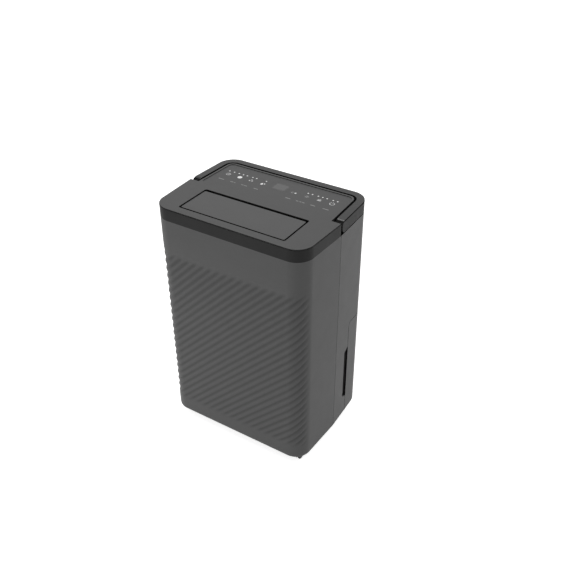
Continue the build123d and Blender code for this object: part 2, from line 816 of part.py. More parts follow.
with BuildPart() as bay_liner:
    slab(plan_slice(wall + fit_gap, bay_wall_y, depth), (bay_deck_z, bay_deck_top))
    wall_x = side_x(bay_y, wall + fit_gap)
    block((-wall_x, wall_x), (bay_wall_y, bay_y), (pan_top, bay_deck_top))
    rod_z(drip_x, drip_y, (bay_deck_z, bay_deck_top), spout_r + 0.3, Mode.SUBTRACT)
save(bay_liner.part, "bay_liner")

# Drip tray: catches the water off the coils and drops it through a spout into the tank.

with BuildPart() as drip_tray:
    block((-tray_x, tray_x), (tray_front_y, tray_rear_y), (bay_deck_top, bay_deck_top + tray_height))
    block(
        (-tray_x + tray_wall, tray_x - tray_wall),
        (tray_front_y + tray_wall, tray_rear_y - tray_wall),
        (bay_deck_top + tray_wall, bay_deck_top + tray_height),
        Mode.SUBTRACT,
    )
    rod_z(drip_x, drip_y, (bay_deck_z - 5.0, bay_deck_top + tray_wall), spout_r)
    rod_z(drip_x, drip_y, (bay_deck_z - 5.0, bay_deck_top + tray_wall), spout_r - 1.6, Mode.SUBTRACT)
save(drip_tray.part, "drip_tray")

# Coils: two finned blocks, each with one tube that runs across it and back.

pass_pitch = coil_height / coil_passes
tube_fit = 0.05
pass_heights = [coil_top - pass_pitch * (n + 0.5) for n in range(coil_passes)]
tube_end_x = -coil_half - coil_end


def make_fins(name, middle_y, thickness):
    """A finned block with a bore for each pass of its tube."""
    with BuildPart() as fins:
        block(
            (-coil_half, coil_half),
            (middle_y - thickness / 2, middle_y + thickness / 2),
            (coil_low_z, coil_top),
        )
        slot_depth = (thickness - fin_web) / 2
        slot_count = int(2 * coil_half / fin_pitch) - 1
        with BuildSketch(Plane.XY.offset(coil_low_z)):
            for side in (-1, 1):
                with Locations((0, middle_y + side * (thickness - slot_depth) / 2)):
                    with GridLocations(fin_pitch, 0, slot_count, 1):
                        Rectangle(fin_pitch - fin_t, slot_depth)
        extrude(amount=coil_height, mode=Mode.SUBTRACT)
        for z in pass_heights:
            rod_x((-coil_half, coil_half), middle_y, z, tube_r + tube_fit, Mode.SUBTRACT)
    save(fins.part, name)


def make_serpentine(name, middle_y):
    """A tube that crosses the block, turns by a half circle and comes back."""
    turn_x = coil_half + 3.0
    with BuildPart() as serpentine:
        with BuildLine(Plane.XZ.offset(-middle_y)) as route:
            direction = 1
            start_x = tube_end_x
            for n, z in enumerate(pass_heights):
                last = n == coil_passes - 1
                stop_x = tube_end_x if last else direction * turn_x
                Line((start_x, z), (stop_x, z))
                if not last:
                    bulge_x = stop_x + direction * pass_pitch / 2
                    middle_z = z - pass_pitch / 2
                    ThreePointArc((stop_x, z), (bulge_x, middle_z), (stop_x, z - pass_pitch))
                start_x = stop_x
                direction = -direction
        with BuildSketch(Plane.YZ.offset(tube_end_x)):
            with Locations((middle_y, pass_heights[0])):
                Circle(tube_r)
        sweep(path=route.wire())
    save(serpentine.part, name)


make_fins("condenser_fins", condenser_y, condenser_depth)
make_serpentine("condenser_tube", condenser_y)
make_fins("evaporator_fins", evaporator_y, evaporator_depth)
make_serpentine("evaporator_tube", evaporator_y)

# Compressor: a sealed shell on three rubber feet, with the pump block inside.

compressor_top = compressor_low_z + compressor_height
pump_r = compressor_r - 12.0
pump_height = 100.0

with BuildPart() as compressor_shell:
    rod_z(compressor_x, compressor_y, (compressor_low_z, compressor_top), compressor_r)
    fillet(compressor_shell.faces().sort_by(Axis.Z)[-1].edges(), 16.0)
    rod_z(
        compressor_x,
        compressor_y,
        (compressor_low_z + shell_t, compressor_top - shell_t - 10),
        compressor_r - shell_t,
        Mode.SUBTRACT,
    )
    with BuildSketch(Plane.XY.offset(compressor_low_z - foot_t)):
        with Locations((compressor_x, compressor_y)):
            Circle(compressor_r)
        for place, angle in zip(foot_places, foot_angles):
            with Locations(place):
                Circle(grommet_r)
            middle = ((place[0] + compressor_x) / 2, (place[1] + compressor_y) / 2)
            with Locations(middle):
                Rectangle(foot_reach, 2 * grommet_r, rotation=angle)
        for place in foot_places:
            with Locations(place):
                Circle(bolt_r + 1.0, mode=Mode.SUBTRACT)
    extrude(amount=foot_t)
save(compressor_shell.part, "compressor_shell")

with BuildPart() as compressor_pump:
    rod_z(
        compressor_x,
        compressor_y,
        (compressor_low_z + shell_t, compressor_low_z + shell_t + pump_height),
        pump_r,
    )
save(compressor_pump.part, "compressor_pump")

with BuildPart() as foot_grommets:
    for place in foot_places:
        rod_z(*place, (pan_top + 1.5, compressor_low_z - foot_t), grommet_r)
        rod_z(*place, (pan_top + 1.5, compressor_low_z - foot_t), bolt_r + 0.3, Mode.SUBTRACT)
save(foot_grommets.part, "foot_grommets")

with BuildPart() as foot_bolts:
    for place in foot_places:
        rod_z(*place, (rim_top, compressor_low_z + 6), bolt_r)
        rod_z(*place, (compressor_low_z, compressor_low_z + 3), bolt_r + 2.5)
save(foot_bolts.part, "foot_bolts")

accumulator_top = accumulator_low_z + accumulator_height

with BuildPart() as suction_accumulator:
    rod_z(accumulator_x, accumulator_y, (accumulator_low_z, accumulator_top), accumulator_r)
    rims = suction_accumulator.edges().filter_by(GeomType.CIRCLE)
    fillet(rims, 4.0)
save(suction_accumulator.part, "suction_accumulator")

with BuildPart() as filter_drier:
    rod_z(drier_x, condenser_y, (drier_low_z, drier_low_z + drier_height), drier_r)
    fillet(filter_drier.edges().filter_by(GeomType.CIRCLE), 3.0)
save(filter_drier.part, "filter_drier")

# Pipes between the compressor, the coils, the drier and the accumulator.

top_pass_z = pass_heights[0]
low_pass_z = pass_heights[-1]
discharge_x = compressor_x - 25.0
discharge_z = compressor_top + 26.0
return_z = compressor_low_z + 14.0
capillary_z = drier_low_z + drier_height + 25.0


def make_pipe(name, points, bend_r, radius):
    """A pipe along a route of straight runs with round bends."""
    with BuildPart() as pipe:
        with BuildLine() as route:
            FilletPolyline(*points, radius=bend_r)
        start = route.wire() ^ 0
        with BuildSketch(start):
            Circle(radius)
        sweep(path=route.wire())
    save(pipe.part, name)


make_pipe(
    "discharge_pipe",
    [
        (discharge_x, compressor_y, compressor_top),
        (discharge_x, compressor_y, discharge_z),
        (riser_x, compressor_y, discharge_z),
        (riser_x, riser_y, discharge_z),
        (riser_x, riser_y, top_pass_z),
        (riser_x, condenser_y, top_pass_z),
        (tube_end_x, condenser_y, top_pass_z),
    ],
    5.0,
    pipe_r,
)
make_pipe(
    "suction_pipe",
    [
        (tube_end_x, evaporator_y, low_pass_z),
        (suction_x, evaporator_y, low_pass_z),
        (suction_x, accumulator_y, low_pass_z),
        (suction_x, accumulator_y, accumulator_top),
    ],
    9.0,
    pipe_r,
)
make_pipe(
    "return_pipe",
    [
        (accumulator_x, accumulator_y, accumulator_low_z),
        (accumulator_x, accumulator_y, return_z),
        (accumulator_x, compressor_y, return_z),
        (compressor_x - compressor_r, compressor_y, return_z),
    ],
    9.0,
    pipe_r,
)
make_pipe(
    "liquid_pipe",
    [
        (tube_end_x, condenser_y, low_pass_z),
        (drier_x, condenser_y, low_pass_z),
        (drier_x, condenser_y, drier_low_z),
    ],
    5.0,
    pipe_r,
)
make_pipe(
    "capillary_tube",
    [
        (drier_x, condenser_y, drier_low_z + drier_height),
        (drier_x, condenser_y, capillary_z),
        (drier_x, evaporator_y, capillary_z),
        (drier_x, evaporator_y, top_pass_z),
        (tube_end_x, evaporator_y, top_pass_z),
    ],
    5.0,
    capillary_r,
)

# Fan scroll: a volute that blows up into the outlet, closed behind by a plate with the inlet.

scroll_low_y = scroll_front_y + scroll_t
drum_depth = scroll_rear_y - scroll_t - scroll_front_y
outlet_top_z = casing_top - 0.4
tongue_x = fan_x + scroll_r * 0.55
tongue_z = fan_z + scroll_r * 0.78


def scroll_outline(inset):
    """Front view of the volute: a round drum with a throat that widens to the outlet."""
    inner_r = scroll_r - inset
    with BuildSketch(Plane.XZ, mode=Mode.PRIVATE) as volute:
        with Locations((fan_x, fan_z)):
            Circle(inner_r)
        with BuildLine():
            Polyline(
                (fan_x - inner_r, fan_z),
                (fan_x, fan_z),
                (tongue_x - inset, tongue_z),
                (duct_half - inset, outlet_top_z + inset),
                (-duct_half + inset, outlet_top_z + inset),
                close=True,
            )
        make_face()
    return volute.sketch


with BuildPart() as scroll_drum:
    extrude(Pos(0, scroll_front_y, 0) * scroll_outline(0), amount=drum_depth, dir=(0, 1, 0))
    extrude(
        Pos(0, scroll_low_y, 0) * scroll_outline(scroll_t),
        amount=drum_depth,
        dir=(0, 1, 0),
        mode=Mode.SUBTRACT,
    )
    block((-half_w, half_w), (scroll_front_y - 1, scroll_rear_y), (outlet_top_z, height), Mode.SUBTRACT)
save(scroll_drum.part, "scroll_drum")

with BuildPart() as scroll_cover:
    extrude(Pos(0, scroll_rear_y - scroll_t, 0) * scroll_outline(0), amount=scroll_t, dir=(0, 1, 0))
    rod_y(fan_x, (scroll_rear_y - scroll_t, scroll_rear_y + 5), fan_z, inlet_r + 3)
    rod_y(fan_x, (scroll_rear_y - scroll_t, scroll_rear_y + 5), fan_z, inlet_r, Mode.SUBTRACT)
save(scroll_cover.part, "scroll_cover")

# Fan: the motor sits inside the dished hub of a wheel with blades around its rim.

hub_t = 2.0
wheel_front_y = scroll_low_y + 4.0
wheel_rear_y = scroll_rear_y - scroll_t - 5.0
motor_front_y = scroll_low_y
motor_rear_y = motor_front_y + motor_length
hub_y = motor_rear_y + 3.0
hub_nose_r = 10.0
shaft_rear_y = hub_y + 16.0

with BuildPart() as fan_motor:
    rod_y(fan_x, (motor_front_y, motor_rear_y), fan_z, motor_r)
    fillet(fan_motor.faces().sort_by(Axis.Y)[-1].edges(), 4.0)
    rod_y(fan_x, (motor_front_y + 6, motor_rear_y), fan_z, shaft_r + run_clear, Mode.SUBTRACT)
save(fan_motor.part, "fan_motor")

with BuildPart() as fan_shaft:
    rod_y(fan_x, (motor_front_y + 8, shaft_rear_y), fan_z, shaft_r)
    rod_y(fan_x, (shaft_rear_y, shaft_rear_y + 3), fan_z, shaft_r + 2)
save(fan_shaft.part, "fan_shaft")

with BuildPart() as fan_wheel:
    with BuildSketch(Plane.XY):
        with BuildLine():
            Polyline(
                (0, hub_y),
                (motor_r + 6, hub_y),
                (fan_bore_r - 4, wheel_front_y),
                (fan_r, wheel_front_y),
                (fan_r, wheel_front_y + hub_t),
                (fan_bore_r - 3, wheel_front_y + hub_t),
                (motor_r + 7, hub_y + hub_t),
                (0, hub_y + hub_t),
                close=True,
            )
        make_face()
    revolve(axis=Axis.Y)
    with Locations(Plane.XZ.offset(-wheel_rear_y)):
        Cylinder(fan_r, 3.0, align=(Align.CENTER, Align.CENTER, Align.MIN))
        Cylinder(fan_bore_r, 3.0, align=(Align.CENTER, Align.CENTER, Align.MIN), mode=Mode.SUBTRACT)
    with BuildSketch(Plane.XZ.offset(-wheel_front_y - 1)):
        with PolarLocations((fan_r + fan_bore_r) / 2, blade_count):
            Rectangle(fan_r - fan_bore_r - 2, blade_t)
    extrude(amount=-(wheel_rear_y - wheel_front_y - 2))
    rod_y(0, (hub_y + hub_t - 1, shaft_rear_y), 0, hub_nose_r)
    rod_y(0, (hub_y - 1, shaft_rear_y), 0, shaft_r, Mode.SUBTRACT)
fan_wheel.part = Pos(fan_x, 0, fan_z) * fan_wheel.part
save(fan_wheel.part, "fan_wheel")

# Electrics: a box on the bay wall with the power board and the run capacitor.

box_front_y = bay_wall_y - box_depth

with BuildPart() as power_box:
    block((box_left, box_right), (box_front_y, bay_wall_y), (box_low_z, box_high_z))
    block(
        (box_left + box_wall, box_right - box_wall),
        (box_front_y + box_wall, bay_wall_y - box_wall),
        (box_low_z + box_wall, box_high_z - box_wall),
        Mode.SUBTRACT,
    )
save(power_box.part, "power_box")

with BuildPart() as power_board:
    block(
        (box_left + box_wall + 4, box_right - box_wall - 4),
        (bay_wall_y - box_wall - 4 - board_t, bay_wall_y - box_wall - 4),
        (box_low_z + box_wall + 4, box_high_z - box_wall - 4),
    )
    for place_x in (box_left + box_wall + 10, box_right - box_wall - 10):
        for place_z in (box_low_z + box_wall + 10, box_high_z - box_wall - 10):
            rod_y(place_x, (bay_wall_y - box_wall - 4, bay_wall_y - box_wall), place_z, 3.0)
save(power_board.part, "power_board")

with BuildPart() as run_capacitor:
    rod_z(
        box_right + capacitor_r - 30,
        box_front_y - capacitor_r,
        (pan_top, pan_top + capacitor_length),
        capacitor_r,
    )
save(run_capacitor.part, "run_capacitor")

# Tank switch: a sealed reed switch on the bay wall, level with the float's magnet.

with BuildPart() as tank_switch:
    block(
        (float_centre_x - 12, float_centre_x + 12),
        (bay_y, bay_y + 2.4),
        (float_z - 6, float_z + 6),
    )
save(tank_switch.part, "tank_switch")

# Humidity sensor: a small board on a post beside the coils.

with BuildPart() as humidity_sensor:
    with Locations((coil_half + sensor_side, evaporator_y, bay_deck_top)):
        Box(12, 8, 3, align=(Align.CENTER, Align.CENTER, Align.MIN))
        Box(10, 2, sensor_height, align=(Align.CENTER, Align.CENTER, Align.MIN))
save(humidity_sensor.part, "humidity_sensor")

# Cord gland: the inlet for the mains cord, flush in the rear wall.

gland_rear_y = half_d - 0.2
gland_wall_y = half_d - wall

with BuildPart() as cord_gland:
    rod_y(gland_x, (gland_wall_y - 6, gland_rear_y), gland_z, gland_r)
    rod_y(gland_x, (gland_wall_y - 3, gland_wall_y), gland_z, gland_r + gland_flange)
    rod_y(gland_x, (gland_wall_y - 6, gland_rear_y), gland_z, cord_r, Mode.SUBTRACT)
save(cord_gland.part, "cord_gland")

# Intake grille and dust filter: the grille lifts out to the rear with the filter in it.

slat_pitch = (intake_high_z - intake_low_z - 2 * grille_rim) / slat_count

with BuildPart() as intake_grille:
    block((-intake_half, intake_half), (half_d - grille_depth, half_d), (intake_low_z, intake_high_z))
    block(
        (-intake_half + grille_t, intake_half - grille_t),
        (half_d - grille_depth, half_d - grille_t),
        (intake_low_z + grille_t, intake_high_z - grille_t),
        Mode.SUBTRACT,
    )
    for n in range(slat_count):
        middle_z = intake_low_z + grille_rim + slat_pitch * (n + 0.5)
        gap_half = (slat_pitch - slat_height) / 2
        for left_x, right_x in ((-intake_half + grille_rim, -2.5), (2.5, intake_half - grille_rim)):
            block(
                (left_x, right_x),
                (half_d - grille_t - 1, half_d + 1),
                (middle_z - gap_half, middle_z + gap_half),
                Mode.SUBTRACT,
            )
save(intake_grille.part, "intake_grille")

with BuildPart() as dust_filter:
    block(
        (-intake_half + grille_t, intake_half - grille_t),
        (half_d - grille_t - filter_t, half_d - grille_t),
        (intake_low_z + grille_t, intake_high_z - grille_t),
    )
save(dust_filter.part, "dust_filter")
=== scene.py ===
import math

import bmesh
import bpy
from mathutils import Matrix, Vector


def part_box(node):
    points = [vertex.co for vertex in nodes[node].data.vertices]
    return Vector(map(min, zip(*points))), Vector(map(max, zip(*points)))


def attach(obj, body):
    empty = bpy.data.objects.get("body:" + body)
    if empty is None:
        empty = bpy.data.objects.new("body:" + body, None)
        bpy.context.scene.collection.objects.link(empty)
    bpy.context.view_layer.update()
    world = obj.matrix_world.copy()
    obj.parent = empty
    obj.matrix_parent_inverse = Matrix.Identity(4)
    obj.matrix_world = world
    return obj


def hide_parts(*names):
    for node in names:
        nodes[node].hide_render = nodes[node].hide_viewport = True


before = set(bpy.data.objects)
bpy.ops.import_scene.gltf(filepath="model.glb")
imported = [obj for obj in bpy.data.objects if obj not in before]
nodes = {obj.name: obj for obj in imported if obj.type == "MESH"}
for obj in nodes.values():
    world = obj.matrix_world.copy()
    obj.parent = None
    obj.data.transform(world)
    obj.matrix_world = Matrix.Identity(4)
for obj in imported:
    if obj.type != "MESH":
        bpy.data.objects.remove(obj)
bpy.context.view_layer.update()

# Base pan: a black polypropylene tray that carries the compressor and closes the casing
# from below. It is injection moulded with a fine spark-eroded grain, and four screws
# through the casing's rim hold it.

screen_steps = 255
melt_scale, grain_scale, wear_scale = 7.0, 1500.0, 38.0
grain_fleck = 0.035
grain_strength = 0.7
sheen_less, sheen_more = 0.02, 0.025
bevel_samples = 4


def grey(tone, warmth=0.0):
    """Linear colour of a screen grey from 0 to 255, slightly warm or cool if asked."""
    linear = ((tone / screen_steps + 0.055) / 1.055) ** 2.4
    return (linear * (1 + warmth), linear, linear * (1 - warmth))


def node(tree, kind, feeds=None, **settings):
    """Add a node, set its properties and feed its inputs from values or other sockets."""
    made = tree.nodes.new(kind)
    for key, value in settings.items():
        setattr(made, key, value)
    for key, value in (feeds or {}).items():
        if isinstance(value, bpy.types.NodeSocket):
            tree.links.new(value, made.inputs[key])
        else:
            made.inputs[key].default_value = value
    return made


def blank_finish(name):
    """A material with an empty node tree, its object coordinates and its shader."""
    material = bpy.data.materials.new(name)
    material.use_nodes = True
    tree = material.node_tree
    tree.nodes.clear()
    place = node(tree, "ShaderNodeTexCoord").outputs["Object"]
    shader = node(tree, "ShaderNodeBsdfPrincipled")
    output = node(tree, "ShaderNodeOutputMaterial")
    tree.links.new(shader.outputs["BSDF"], output.inputs["Surface"])
    return material, tree, place, shader


def spread(tree, value, low, high, start=0.3, end=0.7):
    """Map a pattern's middle range to a range of strengths."""
    feeds = {"Value": value, "From Min": start, "From Max": end, "To Min": low, "To Max": high}
    return node(tree, "ShaderNodeMapRange", feeds).outputs["Result"]


def noise(tree, place, scale, detail):
    """Height of a soft random pattern in space."""
    feeds = {"Vector": place, "Scale": scale, "Detail": detail}
    return node(tree, "ShaderNodeTexNoise", feeds).outputs["Fac"]


def tinted(tree, colour, strength):
    """A colour made lighter or darker by a pattern."""
    feeds = {"Vector": colour, "Scale": strength}
    return node(tree, "ShaderNodeVectorMath", feeds, operation="SCALE").outputs["Vector"]


def relief(tree, height, distance, strength, normal=None):
    """Fine unevenness of a surface."""
    feeds = {"Height": height, "Distance": distance, "Strength": strength}
    if normal:
        feeds["Normal"] = normal
    return node(tree, "ShaderNodeBump", feeds).outputs["Normal"]


def coat(tree, shader, **sockets):
    """Feed the shader's colour, roughness and normal."""
    for label, socket in sockets.items():
        tree.links.new(socket, shader.inputs[label.replace("_", " ")])


def calc(tree, operation, *feeds):
    """One step of arithmetic in a node tree."""
    return node(tree, "ShaderNodeMath", dict(enumerate(feeds)), operation=operation).outputs[0]


def blend(tree, factor, first, second):
    """Mix two colours."""
    feeds = {"Factor": factor, "A": first, "B": second}
    for key in ("A", "B"):
        if not isinstance(feeds[key], bpy.types.NodeSocket):
            feeds[key] = (*feeds[key], 1)
    return node(tree, "ShaderNodeMix", feeds, data_type="RGBA").outputs["Result"]


def moulded(name, colour, roughness=0.5, grain=0.000012, cloud=0.01, specular=0.12, edge=0.0):
    """Moulded plastic: faint clouding from the flow of the melt and a fine eroded grain."""
    material, tree, place, shader = blank_finish(name)
    shader.inputs["Specular IOR Level"].default_value = specular
    # A colour function can hand back painted shade, with the share of gloss left under it.
    if callable(colour):
        colour, gloss_share = colour(tree, place)
        gloss = calc(tree, "MULTIPLY", gloss_share, specular)
        tree.links.new(gloss, shader.inputs["Specular IOR Level"])
    flow = noise(tree, place, melt_scale, 4.0)
    pits = noise(tree, place, grain_scale, 2.0)
    handled = noise(tree, place, wear_scale, 5.0)
    clouding = spread(tree, flow, 1 - cloud, 1 + cloud)
    fleck = spread(tree, pits, 1 - grain_fleck, 1 + grain_fleck)
    rounded = None
    if edge:
        soft = node(tree, "ShaderNodeBevel", {"Radius": edge}, samples=bevel_samples)
        rounded = soft.outputs["Normal"]
    coat(
        tree,
        shader,
        Base_Color=tinted(tree, colour, calc(tree, "MULTIPLY", clouding, fleck)),
        Roughness=spread(tree, handled, roughness - sheen_less, roughness + sheen_more),
        Normal=relief(tree, pits, grain, grain_strength, rounded),
    )
    return material


def shade_and_unpainted_bands(base, *strips):
    """A colour, and the share of gloss left, with dark strips each between two planes and no gloss
    in them: painted shade, in places over unpainted dark plastic.
    """

    def build(tree, place):
        axes = node(tree, "ShaderNodeSeparateXYZ", {"Vector": place}).outputs
        result, gloss_share = base, 1.0
        for axis, low, high, colour in strips:
            after = calc(tree, "GREATER_THAN", axes[axis], low)
            inside = calc(tree, "MULTIPLY", after, calc(tree, "LESS_THAN", axes[axis], high))
            result = blend(tree, inside, result, colour)
            gloss_share = calc(tree, "MULTIPLY", gloss_share, calc(tree, "SUBTRACT", 1.0, inside))
        return result, gloss_share

    return build


def dress(material, *names):
    """Give CAD nodes their finish."""
    for name in names:
        slots = nodes[name].data.materials
        slots.clear()
        slots.append(material)


black_tone = 34
black_plastic = moulded("black_polypropylene", grey(black_tone), roughness=0.55)
dress(black_plastic, "base_pan")

# Casters: four twin-wheel furniture casters. Each has a stamped hood and fork of plated
# steel on a vertical stem, a steel axle and two black nylon wheels with a hard tread.

stain_scale = 45.0
rub_less, rub_more = 0.08, 0.1


def plated(name, colour, roughness=0.32, brush=(60, 60, 900), scuff=0.06):
    """Plated or bare sheet metal with fine rolling lines and small stains."""
    material, tree, place, shader = blank_finish(name)
    stretch = node(tree, "ShaderNodeMapping", {"Vector": place, "Scale": brush})
    lines = noise(tree, stretch.outputs["Vector"], 1.0, 3.0)
    stains = noise(tree, place, stain_scale, 6.0)
    coat(
        tree,
        shader,
        Base_Color=tinted(tree, colour, spread(tree, stains, 1 - scuff, 1 + scuff)),
        Roughness=spread(tree, lines, roughness - rub_less, roughness + rub_more),
        Normal=relief(tree, lines, 0.00001, 0.5),
    )
    shader.inputs["Metallic"].default_value = 1.0
    return material


zinc_colour = (0.48, 0.48, 0.46)
wheel_tone = 30
zinc = plated("zinc_plated_steel", zinc_colour)
nylon = moulded("wheel_nylon", grey(wheel_tone), roughness=0.42, grain=0.00002, cloud=0.05)
for corner in ("front_right", "front_left", "rear_right", "rear_left"):
    dress(zinc, f"caster_fork_{corner}", f"caster_axle_{corner}")
    dress(nylon, f"caster_wheels_{corner}")

# Compressor: a welded steel shell in black enamel with the motor and pump inside. It
# stands on three rubber grommets bolted to the base pan.

peel_scale, dust_scale = 320.0, 26.0
dust_dark, dust_pale, dust_dull = 0.9, 1.25, 0.2


def enamelled(name, colour, roughness=0.3, peel=0.00004):
    """Sprayed enamel on steel: glossy, with a slight orange peel and dust in its low spots."""
    material, tree, place, shader = blank_finish(name)
    skin = noise(tree, place, peel_scale, 1.0)
    dust = noise(tree, place, dust_scale, 7.0)
    coat(
        tree,
        shader,
        Base_Color=tinted(tree, colour, spread(tree, dust, dust_dark, dust_pale)),
        Roughness=spread(tree, dust, roughness, roughness + dust_dull),
        Normal=relief(tree, skin, peel, 0.5),
    )
    return material


enamel_tone = 27
rubber_tone = 26
iron_colour = (0.16, 0.155, 0.15)
cast_iron = plated("cast_iron", iron_colour, roughness=0.6, brush=(300, 300, 300))
rubber = moulded("grommet_rubber", grey(rubber_tone), roughness=0.8, grain=0.00004, specular=0.25)
dress(enamelled("compressor_enamel", grey(enamel_tone)), "compressor_shell", "suction_accumulator")
dress(cast_iron, "compressor_pump")
dress(rubber, "foot_grommets")
dress(zinc, "foot_bolts")

# Refrigerant pipes: drawn copper with brazed joints, darkened where it was heated. The
# filter drier is a spun copper can in the same line.

bright_copper = (0.78, 0.36, 0.21)
burnt_copper = (0.33, 0.13, 0.08)
heat_scale, draw_scale = 22.0, 700.0
most_burnt = 0.85


def drawn_copper(name):
    """Copper tube: bright, tarnished in patches, with fine drawing marks."""
    material, tree, place, shader = blank_finish(name)
    heat = spread(tree, noise(tree, place, heat_scale, 6.0), 0.0, most_burnt, 0.42, 0.72)
    coat(
        tree,
        shader,
        Base_Color=blend(tree, heat, bright_copper, burnt_copper),
        Roughness=spread(tree, noise(tree, place, draw_scale, 2.0), 0.24, 0.42),
    )
    shader.inputs["Metallic"].default_value = 1.0
    return material


dress(
    drawn_copper("drawn_copper"),
    "discharge_pipe",
    "suction_pipe",
    "return_pipe",
    "liquid_pipe",
    "capillary_tube",
    "filter_drier",
    "condenser_tube",
    "evaporator_tube",
)

# Coils: the condenser stands in front of the evaporator, each a pack of aluminium fins
# pressed onto its copper tube, above the drip tray.

fin_colour = (0.66, 0.67, 0.68)
fin_rolling = (1400, 40, 40)
fin_metal = plated("fin_aluminium", fin_colour, roughness=0.38, brush=fin_rolling, scuff=0.08)
dress(fin_metal, "condenser_fins", "evaporator_fins")

# Bay liner and drip tray: grey moulded parts between the machinery and the tank, with the
# reed switch clipped to the liner's wall.

liner_tone = 58
inner_plastic = moulded("liner_polystyrene", grey(liner_tone), roughness=0.5, cloud=0.04)
dress(inner_plastic, "bay_liner", "drip_tray")
dress(black_plastic, "tank_switch")

# Air path: a snail-shaped drum with its cover, a forward-curved fan wheel on a shaft and a
# small motor in the hub.

fan_tone = 40
motor_colour = (0.42, 0.42, 0.41)
dress(inner_plastic, "scroll_drum", "scroll_cover")
dress(moulded("fan_polypropylene", grey(fan_tone), roughness=0.38, cloud=0.05), "fan_wheel")
dress(plated("motor_can", motor_colour, roughness=0.4), "fan_motor", "fan_shaft")

# Electrics: a white flame-retardant box over the power board, a run capacitor in its
# aluminium can and the control board under the top plate.

track_scale, track_width, track_height = 60.0, 0.035, 0.00004
weave_scale = 800.0


def laminate(name):
    """Glass-epoxy board: dark green resist over copper tracks, a little raised."""
    material, tree, place, shader = blank_finish(name)
    tracks = node(
        tree,
        "ShaderNodeTexBrick",
        {
            "Vector": place,
            "Scale": track_scale,
            "Mortar Size": track_width,
            "Color1": (0.006, 0.05, 0.022, 1),
            "Color2": (0.008, 0.065, 0.03, 1),
            "Mortar": (0.03, 0.16, 0.07, 1),
        },
    ).outputs
    coat(
        tree,
        shader,
        Base_Color=tracks["Color"],
        Roughness=spread(tree, noise(tree, place, weave_scale, 2.0), 0.28, 0.42),
        Normal=relief(tree, tracks["Fac"], track_height, 0.6),
    )
    return material


box_tone = 196
can_colour = (0.62, 0.62, 0.63)
dress(moulded("box_abs", grey(box_tone, 0.01), roughness=0.5), "power_box")
dress(laminate("board_laminate"), "power_board", "control_board", "humidity_sensor")
dress(plated("capacitor_can", can_colour, roughness=0.3), "run_capacitor")

# Rear casing: the ABS shell behind the seam, with the finger notches beside the tank and
# the shelf under the carry handle. Its grain is the body's, a satin dark grey.

rear_tone = 82
joint_shade_tone = 16
shelf_shade_tone = 28
joint_skin = 0.00004
beyond = 1.0
satin = {"edge": 0.0003}
rear_low, rear_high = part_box("rear_casing")
# Painted shade: the faces inside the seam and the top of the shelf under the handle lie in deep
# shade, so they are painted dark and without gloss.
rear_joint_shade = [
    ("Y", -beyond, rear_low.y + joint_skin, grey(joint_shade_tone)),
    ("Z", rear_high.z - joint_skin, beyond, grey(shelf_shade_tone)),
]
dress(moulded("rear_casing_abs", shade_and_unpainted_bands(grey(rear_tone), *rear_joint_shade), **satin), "rear_casing")

# Cord gland: the inlet of the mains cord in the rear wall, a flanged bush of the same
# black polypropylene as the base pan, pushed in from inside.

dress(black_plastic, "cord_gland")

# Front casing: the ABS shell before the seam. Soft diagonal ripples are moulded into its
# front face and run round both front corners, fading out above, below and at the sides.

body_tone = 84
valley_shade_tone = 72
draft = math.radians(2.45)
widest_y = 0.002
corner_radius = 0.033
casing_wall = 0.0026
rim_inset = 0.0069
rim_rise = 0.006
foot_radius = 0.0065
foot_steps = 7
skin_step = 0.0015
ripple_low, ripple_high = 0.048, 0.413
ripple_margin = 0.01
plain_rows = (0.029, 0.0335)
brow_shares = (0.3, 0.6, 0.85, 0.99, 1.0)
inner_rows = (0.36, 0.16)
side_length = 0.088
side_shares = (0.03, 0.1, 0.25, 0.5, 0.75, 1.0)
casing_low, casing_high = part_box("front_casing")
front_y, foot_z = casing_low.y, casing_low.z
seam_line, casing_top = casing_high.y, casing_high.z
half_width = casing_high.x + (widest_y - seam_line) * math.tan(draft)


def wall_x(y, inset=0.0):
    """Half the body's width at a depth, drawn in from the outside."""
    return half_width - inset / math.cos(draft) - abs(y - widest_y) * math.tan(draft)


def casing_columns(step):
    """Right half of the plan, from the front's middle to the seam, as functions of inset."""
    turn = math.pi / 2 - draft
    tangent = corner_radius / math.tan((math.pi / 2 + draft) / 2)
    centre_x = wall_x(front_y) - tangent
    centre_y = front_y + corner_radius
    columns = []
    flat = max(1, round(centre_x / step))
    for n in range(flat):
        x = centre_x * n / flat
        columns.append((x, lambda inset, x=x: (x, front_y + inset), (0.0, -1.0)))
    arc = max(4, round(corner_radius * turn / step))
    for n in range(arc + 1):
        angle = -math.pi / 2 + turn * n / arc
        across, along = math.cos(angle), math.sin(angle)
        run = centre_x + corner_radius * turn * n / arc

        def corner(inset, across=across, along=along):
            reach = corner_radius - inset
            return (centre_x + reach * across, centre_y + reach * along)

        columns.append((run, corner, (across, along)))
    side_run = columns[-1][0]
    for share in side_shares:

        def side(inset, share=share):
            start = centre_y - (corner_radius - inset) * math.sin(draft)
            y = start + (seam_line - start) * share
            return (wall_x(y, inset), y)

        columns.append((side_run + share * side_length, side, (math.cos(draft), -math.sin(draft))))
    return columns


def profile(step):
    """Wall section, up the outside and down the inside: (inset, height, share of the ripples)."""
    outside = []
    for n in range(foot_steps + 1):
        angle = math.pi / 2 * n / foot_steps
        rise = foot_radius * (1 - math.cos(angle))
        outside.append((foot_radius * (1 - math.sin(angle)), foot_z + rise))
    low, high = ripple_low - ripple_margin, ripple_high + ripple_margin
    outside += [(0.0, z) for z in (*plain_rows, low)]
    rows = round((high - low) / step)
    outside += [(0.0, low + (high - low) * n / rows) for n in range(1, rows + 1)]
    outside += [(0.0, high + (casing_top - high) * share) for share in brow_shares]
    inside = [(casing_wall, z) for z in (casing_top, *inner_rows, foot_z + rim_rise)]
    inside += [(rim_inset, foot_z + rim_rise), (rim_inset, foot_z)]
    return [(*point, 1.0) for point in outside] + [(*point, 0.0) for point in inside]


